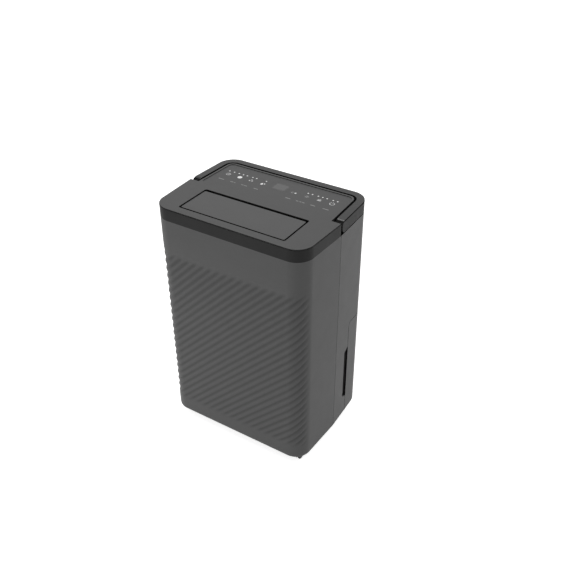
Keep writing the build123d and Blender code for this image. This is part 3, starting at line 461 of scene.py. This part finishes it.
def finished(name, mesh, material, body, smooth=35):
    """Turn a mesh into a piece that rides on a body, with its edges kept crisp."""
    piece = bpy.data.objects.new(name, mesh)
    bpy.context.scene.collection.objects.link(piece)
    mesh.materials.clear()
    mesh.materials.append(material)
    for face in mesh.polygons:
        face.use_smooth = True
    mesh.set_sharp_from_angle(angle=math.radians(smooth))
    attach(piece, body)
    return piece


def grown(tree, source, **values):
    """Run a geometry tree on a mesh with its named inputs and hand back the plain mesh."""
    holder = bpy.data.objects.new(tree.name + "_source", source)
    bpy.context.scene.collection.objects.link(holder)
    modifier = holder.modifiers.new("grow", "NODES")
    modifier.node_group = tree
    for socket in tree.interface.items_tree:
        if socket.in_out == "INPUT" and socket.name in values:
            modifier[socket.identifier] = values[socket.name]
    bpy.context.view_layer.update()
    graph = bpy.context.evaluated_depsgraph_get()
    mesh = bpy.data.meshes.new_from_object(holder.evaluated_get(graph), depsgraph=graph)
    holder.modifiers.remove(modifier)
    bpy.data.objects.remove(holder)
    return mesh


def geometry_tree(name, **inputs):
    """A geometry tree with named inputs, its input node and its output node."""
    tree = bpy.data.node_groups.new(name, "GeometryNodeTree")
    tree.interface.new_socket("Geometry", in_out="INPUT", socket_type="NodeSocketGeometry")
    for label, kind in inputs.items():
        tree.interface.new_socket(label, in_out="INPUT", socket_type=f"NodeSocket{kind}")
    tree.interface.new_socket("Geometry", in_out="OUTPUT", socket_type="NodeSocketGeometry")
    return tree, node(tree, "NodeGroupInput"), node(tree, "NodeGroupOutput")


def close_tree(tree, geometry, material, output):
    """End a geometry tree with real geometry in its material."""
    real = node(tree, "GeometryNodeRealizeInstances", {"Geometry": geometry})
    feeds = {"Geometry": real.outputs["Geometry"], "Material": material}
    skin = node(tree, "GeometryNodeSetMaterial", feeds)
    tree.links.new(skin.outputs["Geometry"], output.inputs["Geometry"])


right_half = casing_columns(skin_step)
around = [(-run, place, normal, -1) for run, place, normal in reversed(right_half[1:])]
around += [(run, place, normal, 1) for run, place, normal in right_half]
section = profile(skin_step)
corners, runs, outward, skin = [], [], [], []
for run, place, normal, side_sign in around:
    for inset, z, on_skin in section:
        x, y = place(inset)
        corners.append((side_sign * x, y, z))
        runs.append(run)
        outward.extend((side_sign * normal[0], normal[1], 0.0))
        skin.append(on_skin)
rows = len(section)
last = (len(around) - 1) * rows
faces = []
for here in range(0, last, rows):
    beside = here + rows
    for row in range(rows):
        after = (row + 1) % rows
        faces.append((here + row, beside + row, beside + after, here + after))
faces.append(tuple(range(rows)))
faces.append(tuple(reversed(range(last, last + rows))))
shell = bpy.data.meshes.new("casing_shell")
shell.from_pydata(corners, [], faces)
shell.attributes.new("run", "FLOAT", "POINT").data.foreach_set("value", runs)
shell.attributes.new("skin", "FLOAT", "POINT").data.foreach_set("value", skin)
shell.attributes.new("outward", "FLOAT_VECTOR", "POINT").data.foreach_set("vector", outward)

ripples, ripple_in, ripple_out = geometry_tree(
    "ripples",
    Pitch="Float",
    Start="Float",
    Depth="Float",
    Low="Float",
    High="Float",
    Reach="Float",
    Fade="Float",
    Skin="Material",
)


def stored(tree, label, kind="FLOAT"):
    """A value stored on a mesh's points."""
    return node(tree, "GeometryNodeInputNamedAttribute", {"Name": label}, data_type=kind).outputs[0]


def fade_in(value, start, end):
    """A soft step from nothing at start to full at end."""
    feeds = {"Value": value, "From Min": start, "From Max": end, "To Min": 0.0, "To Max": 1.0}
    return node(ripples, "ShaderNodeMapRange", feeds, interpolation_type="SMOOTHSTEP").outputs[0]


spot = node(ripples, "GeometryNodeInputPosition").outputs[0]
height = node(ripples, "ShaderNodeSeparateXYZ", {"Vector": spot}).outputs["Z"]
run = stored(ripples, "run")
pitch, start, depth, low, high, reach, fade = [
    ripple_in.outputs[label]
    for label in ("Pitch", "Start", "Depth", "Low", "High", "Reach", "Fade")
]
climb = calc(ripples, "ADD", calc(ripples, "SUBTRACT", height, run), start)
turns = calc(ripples, "DIVIDE", climb, pitch)
wave = calc(ripples, "SINE", calc(ripples, "MULTIPLY", turns, 2 * math.pi))
trough = calc(ripples, "MULTIPLY_ADD", wave, 0.5, 0.5)
above = fade_in(height, low, calc(ripples, "ADD", low, fade))
below = fade_in(height, high, calc(ripples, "SUBTRACT", high, fade))
across = calc(ripples, "ABSOLUTE", run)
inside = fade_in(across, reach, calc(ripples, "SUBTRACT", reach, fade))
envelope = calc(ripples, "MULTIPLY", calc(ripples, "MULTIPLY", above, below), inside)
rippling = calc(ripples, "MULTIPLY", envelope, trough)
sunk = calc(ripples, "MULTIPLY", rippling, stored(ripples, "skin"))
inward = calc(ripples, "MULTIPLY", calc(ripples, "MULTIPLY", sunk, depth), -1.0)
noted = node(
    ripples,
    "GeometryNodeStoreNamedAttribute",
    {"Geometry": ripple_in.outputs["Geometry"], "Name": "sunk", "Value": sunk},
    data_type="FLOAT",
    domain="POINT",
)
shift = node(
    ripples,
    "ShaderNodeVectorMath",
    {"Vector": stored(ripples, "outward", "FLOAT_VECTOR"), "Scale": inward},
    operation="SCALE",
)
moved = node(
    ripples,
    "GeometryNodeSetPosition",
    {"Geometry": noted.outputs["Geometry"], "Offset": shift.outputs["Vector"]},
)
close_tree(ripples, moved.outputs["Geometry"], ripple_in.outputs["Skin"], ripple_out)

# Painted shade: the valleys of the ripples are painted darker and less glossy.
valley_shade_power, valley_shade_dulling = 1.3, 0.2


def ripple_colour_with_painted_shade(tree, place):
    """The casing's grey, with painted shade in the valleys of the ripples: deeper and duller there.
    """
    stored_depth = node(
        tree, "ShaderNodeAttribute", attribute_name="sunk", attribute_type="GEOMETRY"
    )
    valley_shade = calc(tree, "POWER", stored_depth.outputs["Fac"], valley_shade_power)
    gloss = calc(tree, "SUBTRACT", 1.0, calc(tree, "MULTIPLY", valley_shade, valley_shade_dulling))
    return blend(tree, valley_shade, grey(body_tone), grey(valley_shade_tone)), gloss


casing_finish = moulded("front_casing_abs", ripple_colour_with_painted_shade)
rippled = grown(
    ripples,
    shell,
    Pitch=0.01697,
    Start=0.0072,
    Depth=0.0016,
    Low=ripple_low,
    High=ripple_high,
    Reach=0.17,
    Fade=0.016,
    Skin=casing_finish,
)
tab_x, tab_half = 0.086, 0.007
tab_back, tab_front = 0.004, 0.0045
hole_radius = 0.0034
quarter_steps = 4
hole_steps = 4 * quarter_steps


def tab_face(casing, middle, z):
    """One face of a screw tab: its four corners, its round hole and the skin between them."""
    front = [(-tab_half, -tab_front), (tab_half, -tab_front)]
    back = [(tab_half, tab_back), (-tab_half, tab_back)]
    outer = [casing.verts.new(middle + Vector((x, y, z))) for x, y in front + back]
    inner = []
    for n in range(hole_steps):
        angle = 2 * math.pi * (n + 0.5) / hole_steps - 3 * math.pi / 4
        point = Vector((math.cos(angle) * hole_radius, math.sin(angle) * hole_radius, z))
        inner.append(casing.verts.new(middle + point))
    for k, corner in enumerate(outer):
        first = quarter_steps * k
        arc = [inner[(first + n) % hole_steps] for n in range(quarter_steps + 1)]
        for a, b in zip(arc, arc[1:]):
            casing.faces.new((corner, b, a))
        casing.faces.new((corner, outer[(k + 1) % 4], arc[-1]))
    return outer, inner


casing = bmesh.new()
casing.from_mesh(rippled)
for side_sign in (-1, 1):
    middle = Vector((side_sign * tab_x, front_y + rim_inset + tab_back, 0))
    below = tab_face(casing, middle, foot_z)
    above = tab_face(casing, middle, foot_z + rim_rise)
    for ring_low, ring_high in zip(below, above):
        for n, corner in enumerate(ring_low):
            after = (n + 1) % len(ring_low)
            casing.faces.new((corner, ring_low[after], ring_high[after], ring_high[n]))
bmesh.ops.recalc_face_normals(casing, faces=casing.faces)
casing.to_mesh(rippled)
casing.free()
front_shell = finished("front_shell", rippled, casing_finish, "chassis", smooth=40)
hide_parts("front_casing")

# Intake grille and dust filter: a louvred ABS frame that slides out to the rear with a
# woven polyester filter clipped behind its slats.

grille_tone = 80
hole_tone, thread_tone = 14, 70
thread_scale, thread_height = 180.0, 0.0003


def woven_cloth(name):
    """Plain weave: two sets of threads with dark holes between them."""
    material, tree, place, shader = blank_finish(name)
    threads = []
    for axis in ("X", "Z"):
        wave_node = node(
            tree,
            "ShaderNodeTexWave",
            {"Vector": place, "Scale": thread_scale, "Distortion": 0.0},
            wave_type="BANDS",
            bands_direction=axis,
        )
        threads.append(wave_node.outputs["Fac"])
    woven = calc(tree, "MAXIMUM", *threads)
    cover = spread(tree, woven, 0.0, 1.0, 0.55, 0.8)
    coat(
        tree,
        shader,
        Base_Color=blend(tree, cover, grey(hole_tone), grey(thread_tone)),
        Normal=relief(tree, woven, thread_height, 0.8),
    )
    shader.inputs["Roughness"].default_value = 0.8
    return material


dress(woven_cloth("filter_cloth"), "dust_filter")
dress(moulded("grille_abs", grey(grille_tone), **satin), "intake_grille")

# Water tank: a deep ABS bucket whose outside continues the casing, with an inner lid and a
# polystyrene float that carries the switch's magnet.

tank_tone = 84
foam_tone = 214
nickel_colour = (0.5, 0.49, 0.47)
tank_edge = 0.054
tank_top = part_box("tank_bucket")[1].z
# Painted shade: the tank's top edge and the face at its shut line lie in shade, so they are painted
# dark and without gloss.
tank_joint_shade = [
    ("Z", tank_top - joint_skin, beyond, grey(joint_shade_tone)),
    ("Y", tank_edge - joint_skin, tank_edge + joint_skin, grey(joint_shade_tone)),
]
dress(moulded("tank_abs", shade_and_unpainted_bands(grey(tank_tone), *tank_joint_shade), **satin), "tank_bucket")
dress(inner_plastic, "tank_lid")
dress(moulded("float_foam", grey(foam_tone, 0.01), roughness=0.7, grain=0.00006), "tank_float")
dress(plated("magnet_nickel", nickel_colour, roughness=0.2), "float_magnet")

# Top band: the darker ABS ring between the casing and the plate, moulded in one piece with
# the duct of the outlet. A fine groove parts it from the plate, and its strip is painted in
# a dark shade tone without gloss, as painted shade.

band_tone = 40
shade_tone = 18
panel_step = 0.0012
groove_height, groove_lap = 0.0008, 0.00002
plate_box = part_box("top_plate")
plate_low, plate_top = plate_box[0].z + panel_step, plate_box[1].z
# Painted shade: the groove's strip is painted in the shade tone, without gloss.
groove_shade = ("Z", plate_low - groove_height, plate_low + groove_lap, grey(shade_tone))
dress(moulded("band_abs", shade_and_unpainted_bands(grey(band_tone), groove_shade), specular=0.08, **satin), "top_band")

# Top plate: flat moulded ABS in satin grey paint, with the opening of the air outlet and a
# shallow tray for the touch panel. It clips onto the band. Its sides and the wall of the tray
# are unpainted dark plastic, painted darker still and without gloss as painted shade.

plate_tone, plate_side_bare_and_shade_tone = 89, 24
paint_skin = 0.00015
paint_edge = 0.0002
window_low, window_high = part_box("display_window")
panel_top = window_high.z
# Painted shade: the side strips are unpainted plastic painted darker still, without gloss.
plate_skin = shade_and_unpainted_bands(
    grey(plate_tone),
    ("Z", panel_top + paint_skin, plate_top - paint_skin, grey(plate_side_bare_and_shade_tone)),
    ("Z", 0.0, panel_top - paint_skin, grey(plate_side_bare_and_shade_tone)),
)
dress(moulded("plate_paint", plate_skin, edge=paint_edge), "top_plate")

# Display window: a small pane of smoked acrylic over the digits, a little glossier than the
# paint. It is glued into the touch panel from below, flush with the panel.

smoke_tone = 92
smoked = moulded("smoked_acrylic", grey(smoke_tone), roughness=0.25, grain=0.0, specular=0.25)
dress(smoked, "display_window")

# Indicator lights: milky light guides under the plate, each with a small spot in the paint.
# The touch marks and the short bars under them are screen printed in white ink.

white_tone, pale_tone, dim_tone, milk_tone = 248, 196, 146, 215
cover_scale = 900.0
ink_thickness = 0.00005
ink_height = panel_top + ink_thickness
print_shift = -0.0008
spot_radius, spot_steps = 0.0015, 20


def ink(name, tone):
    """Screen-printed ink: matt, slightly uneven in cover."""
    material, tree, place, shader = blank_finish(name)
    cover = noise(tree, place, cover_scale, 3.0)
    coat(
        tree,
        shader,
        Base_Color=tinted(tree, grey(tone), spread(tree, cover, 0.9, 1.06)),
        Roughness=spread(tree, cover, 0.5, 0.62),
    )
    return material


bright_ink = ink("white_ink", white_tone)
pale_ink = ink("pale_ink", pale_tone)
dim_ink = ink("grey_ink", dim_tone)
dress(ink("milky_guide", milk_tone), "indicator_lights")

spots, spot_in, spot_out = geometry_tree("light_spots", Radius="Float", Skin="Material")
disc = node(
    spots,
    "GeometryNodeMeshCircle",
    {"Vertices": spot_steps, "Radius": spot_in.outputs["Radius"]},
    fill_type="NGON",
)
scattered = node(
    spots,
    "GeometryNodeInstanceOnPoints",
    {"Points": spot_in.outputs["Geometry"], "Instance": disc.outputs["Mesh"]},
)
close_tree(spots, scattered.outputs["Instances"], spot_in.outputs["Skin"], spot_out)
light_y = (window_low.y + window_high.y) / 2 + 0.0058
left_end, right_end = -0.1192, 0.118
left_steps = (0, 0.0111, 0.0221, 0.0318, 0.0408, 0.0535, 0.0624, 0.0844)
right_steps = (0.0616, 0.0524, 0.0401, 0.0309, 0.0218, 0.0092, 0)
lights_x = [left_end + step for step in left_steps] + [right_end - step for step in right_steps]
spot_places = bpy.data.meshes.new("spot_places")
spot_places.from_pydata([(x + print_shift, light_y, ink_height) for x in lights_x], [], [])
spot_mesh = grown(spots, spot_places, Radius=spot_radius, Skin=bright_ink)
finished("light_spots", spot_mesh, bright_ink, "chassis")

timer_x, humidity_x, fan_x, drops_x = [print_shift - x for x in (0.1134, 0.087, 0.061, 0.035)]
night_x, lit_x, night_bar_x = [print_shift + x for x in (0.0305, 0.0365, 0.035)]
defrost_x, lock_x, power_x = [print_shift + x for x in (0.061, 0.087, 0.1134)]

bars, bar_in, bar_out = geometry_tree("print_bars", Thickness="Float", Skin="Material")
bar_shape = node(
    bars, "GeometryNodeMeshGrid", {"Size X": 1.0, "Size Y": 1.0, "Vertices X": 2, "Vertices Y": 2}
)
bar_thickness = bar_in.outputs["Thickness"]
bar_size = node(
    bars, "ShaderNodeCombineXYZ", {"X": stored(bars, "span"), "Y": bar_thickness, "Z": 1.0}
)
bar_row = node(
    bars,
    "GeometryNodeInstanceOnPoints",
    {
        "Points": bar_in.outputs["Geometry"],
        "Instance": bar_shape.outputs["Mesh"],
        "Scale": bar_size.outputs["Vector"],
    },
)
close_tree(bars, bar_row.outputs["Instances"], bar_in.outputs["Skin"], bar_out)
bar_y = light_y - 0.0359
# Each bar's offset from the middle of its mark, and its length.
bar_rows = {
    timer_x: [(0, 0.013)],
    humidity_x: [(-0.002, 0.007), (0.0045, 0.0035)],
    fan_x: [(-0.0038, 0.0055), (0.0035, 0.006)],
    drops_x: [(0, 0.0095)],
    night_bar_x: [(0, 0.0105)],
    defrost_x: [(-0.0062, 0.005), (0.0005, 0.004), (0.0068, 0.005)],
    lock_x: [(0, 0.0095)],
    power_x: [(0, 0.012)],
}
bar_places = [(x + step, bar_y, ink_height) for x, row in bar_rows.items() for step, _ in row]
bar_spans = [width for row in bar_rows.values() for _, width in row]
bar_points = bpy.data.meshes.new("bar_places")
bar_points.from_pydata(bar_places, [], [])
bar_points.attributes.new("span", "FLOAT", "POINT").data.foreach_set("value", bar_spans)
bar_mesh = grown(bars, bar_points, Thickness=0.0019, Skin=dim_ink)
finished("print_bars", bar_mesh, dim_ink, "chassis")

mark_y = light_y - 0.0125
mark_radius = 0.0046
bold_line, pale_line, dim_line = 0.0009, 0.0013, 0.0014


def stroke(sheet, points, width, closed=False):
    """A flat ribbon of ink along points of the plate."""
    count = len(points)
    sides = []
    for n, here_at in enumerate(points):
        before = points[n - 1] if closed or n else points[0]
        after = points[(n + 1) % count] if closed or n < count - 1 else points[-1]
        along = Vector(after) - Vector(before)
        along.normalize()
        across = Vector((-along.y, along.x)) * width / 2
        spot = Vector(here_at)
        sides.append([sheet.verts.new((*(spot + turn * across), ink_height)) for turn in (1, -1)])
    for n in range(count if closed else count - 1):
        a, b = sides[n], sides[(n + 1) % count]
        sheet.faces.new((a[0], a[1], b[1], b[0]))


def arc_points(x, y, radius, start, end, steps=24):
    """Points on a circle of the plate, from one angle to another in degrees."""
    angles = [math.radians(start + (end - start) * n / steps) for n in range(steps + 1)]
    return [(x + radius * math.cos(a), y + radius * math.sin(a)) for a in angles]


def blot(sheet, points):
    """A flat filled patch of ink."""
    sheet.faces.new([sheet.verts.new((x, y, ink_height)) for x, y in points])


def drop(x, y, radius):
    """Outline of a water drop with its point up."""
    return [(x, y + 2.1 * radius)] + arc_points(x, y, radius, 150, 390, 20)


def printed_marks(name, draw):
    """A flat sheet of printed marks, drawn by a function, facing up."""
    sheet = bmesh.new()
    draw(sheet)
    mesh = bpy.data.meshes.new(name)
    bmesh.ops.recalc_face_normals(sheet, faces=sheet.faces)
    for face in sheet.faces:
        if face.normal.z < 0:
            face.normal_flip()
    sheet.to_mesh(mesh)
    sheet.free()
    return mesh


def bold_marks(sheet):
    """The marks in full ink: a disc, two water drops, a lit spot and power."""
    blot(sheet, arc_points(humidity_x, mark_y, mark_radius, 0, 360, 30)[:-1])
    blot(sheet, drop(drops_x - 0.0014, mark_y - 0.0016, 0.0025))
    blot(sheet, drop(drops_x + 0.0031, mark_y + 0.001, 0.0014))
    blot(sheet, arc_points(lit_x, mark_y + 0.0004, 0.0019, 0, 360, 18)[:-1])
    stroke(sheet, arc_points(power_x, mark_y, mark_radius, 125, 415, 30), bold_line)
    stroke(sheet, [(power_x, mark_y + 0.002), (power_x, mark_y + 0.0056)], bold_line)


def pale_marks(sheet):
    """The marks in thinner ink: timer, fan and lock."""
    dial = arc_points(timer_x, mark_y, mark_radius * 0.86, 0, 360, 28)[:-1]
    stroke(sheet, dial, pale_line, closed=True)
    hands = [(timer_x, mark_y + 0.0022), (timer_x, mark_y), (timer_x + 0.0018, mark_y - 0.0006)]
    stroke(sheet, hands, pale_line)
    for turn in (90, 210, 330):
        lean = math.radians(turn)
        hub = (fan_x + 0.0026 * math.cos(lean), mark_y + 0.0022 * math.sin(lean))
        blot(sheet, arc_points(*hub, 0.0021, turn - 90, turn + 120, 14))
    left, right = lock_x - 0.0038, lock_x + 0.0038
    low, high = mark_y - 0.003, mark_y + 0.0004
    blot(sheet, [(left, low), (right, low), (right, high), (left, high)])
    stroke(sheet, arc_points(lock_x, mark_y + 0.0008, 0.0026, 0, 180, 14), pale_line)


def dim_marks(sheet):
    """The marks in the thinnest ink: night and defrost."""
    stroke(sheet, arc_points(night_x, mark_y, 0.002, 40, 320, 16), dim_line)
    middle = Vector((defrost_x, mark_y))
    for turn in range(0, 360, 60):
        ray = Vector((math.cos(math.radians(turn)), math.sin(math.radians(turn)))) * mark_radius
        stroke(sheet, [middle + ray * 0.2, middle + ray], dim_line)


for mark_name, draw, mark_ink in (
    ("marks_bold", bold_marks, bright_ink),
    ("marks_pale", pale_marks, pale_ink),
    ("marks_dim", dim_marks, dim_ink),
):
    finished(mark_name, printed_marks(mark_name, draw), mark_ink, "chassis")

# Outlet flap: a flat ABS lid over the air outlet, painted on its top like the plate and a
# shade paler. It turns on two moulded pins at its rear edge.

flap_tone, flap_side_bare_and_shade_tone = 93, 22
flap_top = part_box("outlet_flap")[1].z
# Painted shade: the flap's sides are unpainted, and painted darker still and without gloss as
# shade.
flap_skin = shade_and_unpainted_bands(grey(flap_tone), ("Z", 0.0, flap_top - paint_skin, grey(flap_side_bare_and_shade_tone)))
dress(moulded("flap_paint", flap_skin, edge=paint_edge), "outlet_flap")

# Carry handle: a three-sided ABS bail that lies around the plate. Its thin top skin is
# painted, its body is unpainted, and two steel pins carry it in the band. A strip along the
# groove and the cap's edges are painted dark as painted shade.

handle_tone, cap_tone = 38, 48
end_radius = 0.0095
end_low, end_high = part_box("handle_cap")
cap_drop = end_high.z - end_low.z
end_turn = math.sqrt(end_radius**2 - (end_radius - cap_drop) ** 2)


def cap_colour(tree, place):
    """Paint on the cap's top and rounded ends; its edges are unpainted, with painted shade: darker
    and without gloss.
    """
    axes = node(tree, "ShaderNodeSeparateXYZ", {"Vector": place}).outputs
    short = calc(tree, "MAXIMUM", calc(tree, "SUBTRACT", end_low.y + end_turn, axes["Y"]), 0.0)
    rise = calc(tree, "SUBTRACT", end_radius**2, calc(tree, "MULTIPLY", short, short))
    crown = calc(tree, "ADD", calc(tree, "SQRT", rise), end_high.z - end_radius)
    edge = calc(tree, "LESS_THAN", axes["Z"], calc(tree, "SUBTRACT", crown, paint_skin))
    return blend(tree, edge, grey(cap_tone), grey(shade_tone)), calc(tree, "SUBTRACT", 1.0, edge)


# Painted shade: the handle's strip along the groove, like the band's, is painted dark and without
# gloss.
handle_abs = moulded("handle_abs", shade_and_unpainted_bands(grey(handle_tone), groove_shade), specular=0.07, **satin)
cap_paint = moulded("handle_cap_paint", cap_colour, roughness=0.28, specular=0.25, edge=paint_edge)
dress(handle_abs, "carry_handle")
dress(cap_paint, "handle_cap")
dress(zinc, "handle_pins")

# Casing screws: four zinc-plated steel screws, put in last, up through the base pan and the
# rim of the casing.

dress(zinc, "casing_screws")

# Setting: a plain white floor and white surroundings, which the camera, reflections and
# glass see as white. The floor keeps the soft shadow of the object.

floor_half = 6.0
floor_white, floor_glow = 0.8, 0.75
surround = 0.67
floor_mesh = bpy.data.meshes.new("floor")
floor_signs = ((-1, -1), (1, -1), (1, 1), (-1, 1))
floor_corners = [(x * floor_half, y * floor_half, 0) for x, y in floor_signs]
floor_mesh.from_pydata(floor_corners, [], [(0, 1, 2, 3)])
floor = bpy.data.objects.new("floor", floor_mesh)
bpy.context.scene.collection.objects.link(floor)


def seen_directly(tree):
    """One where a surface is seen by the camera, in a reflection or through glass."""
    path = node(tree, "ShaderNodeLightPath").outputs
    glossy = calc(tree, "MAXIMUM", path["Is Camera Ray"], path["Is Glossy Ray"])
    return calc(tree, "MAXIMUM", glossy, path["Is Transmission Ray"])


paper = bpy.data.materials.new("paper_floor")
paper.use_nodes = True
paper_tree = paper.node_tree
paper_tree.nodes.clear()
paper_diffuse = node(paper_tree, "ShaderNodeBsdfDiffuse", {"Color": (*[floor_white] * 3, 1)})
glow_strength = calc(paper_tree, "MULTIPLY", seen_directly(paper_tree), floor_glow)
paper_glow = node(
    paper_tree, "ShaderNodeEmission", {"Color": (1, 1, 1, 1), "Strength": glow_strength}
)
paper_sum = node(
    paper_tree,
    "ShaderNodeAddShader",
    {0: paper_diffuse.outputs["BSDF"], 1: paper_glow.outputs["Emission"]},
)
node(paper_tree, "ShaderNodeOutputMaterial", {"Surface": paper_sum.outputs["Shader"]})
floor_mesh.materials.append(paper)

world = bpy.data.worlds.new("studio")
bpy.context.scene.world = world
world.use_nodes = True
sky = world.node_tree
sky.nodes.clear()
sky_strength = spread(sky, seen_directly(sky), surround, 1.0, 0.0, 1.0)
backdrop = node(sky, "ShaderNodeBackground", {"Color": (1, 1, 1, 1), "Strength": sky_strength})
node(sky, "ShaderNodeOutputWorld", {"Surface": backdrop.outputs["Background"]})

# Lamps and camera: one lamp behind to the right, a long low one in front and a small high
# one behind to the left, all soft. The camera stands in front, above and to the right.


def lamp(name, place, target, size, power, height=None):
    """A soft lamp, square or oblong, that faces a point."""
    light = bpy.data.lights.new(name, "AREA")
    light.shape = "RECTANGLE"
    light.size = size
    light.size_y = height or size
    light.energy = power
    holder = bpy.data.objects.new(name, light)
    holder.location = place
    direction = Vector(target) - Vector(place)
    holder.rotation_euler = direction.to_track_quat("-Z", "Y").to_euler()
    bpy.context.scene.collection.objects.link(holder)


lamp("rear_side_lamp", (0.75, 1.6, 0.5), (0.16, 0.0, 0.25), size=0.8, power=6.4)
lamp("front_low_lamp", (-0.2, -0.62, 0.07), (0.0, -0.117, 0.06), size=1.1, power=1.2, height=0.12)
lamp("top_lamp", (-0.75, 0.95, 2.3), (0.0, 0.0, 0.4), size=0.35, power=8)

camera_place = (0.67893, -0.98988, 1.13265)
camera_pitch, camera_heading = math.radians(55.346), math.radians(32.074)
camera_data = bpy.data.cameras.new("camera")
camera_data.sensor_width = 36.0
camera_data.lens = 46.64
camera_data.clip_start = 0.05
camera = bpy.data.objects.new("camera", camera_data)
camera.location = camera_place
camera.rotation_euler = (camera_pitch, 0.0, camera_heading)
bpy.context.scene.collection.objects.link(camera)
bpy.context.scene.camera = camera
bpy.context.scene.view_settings.view_transform = "Standard"
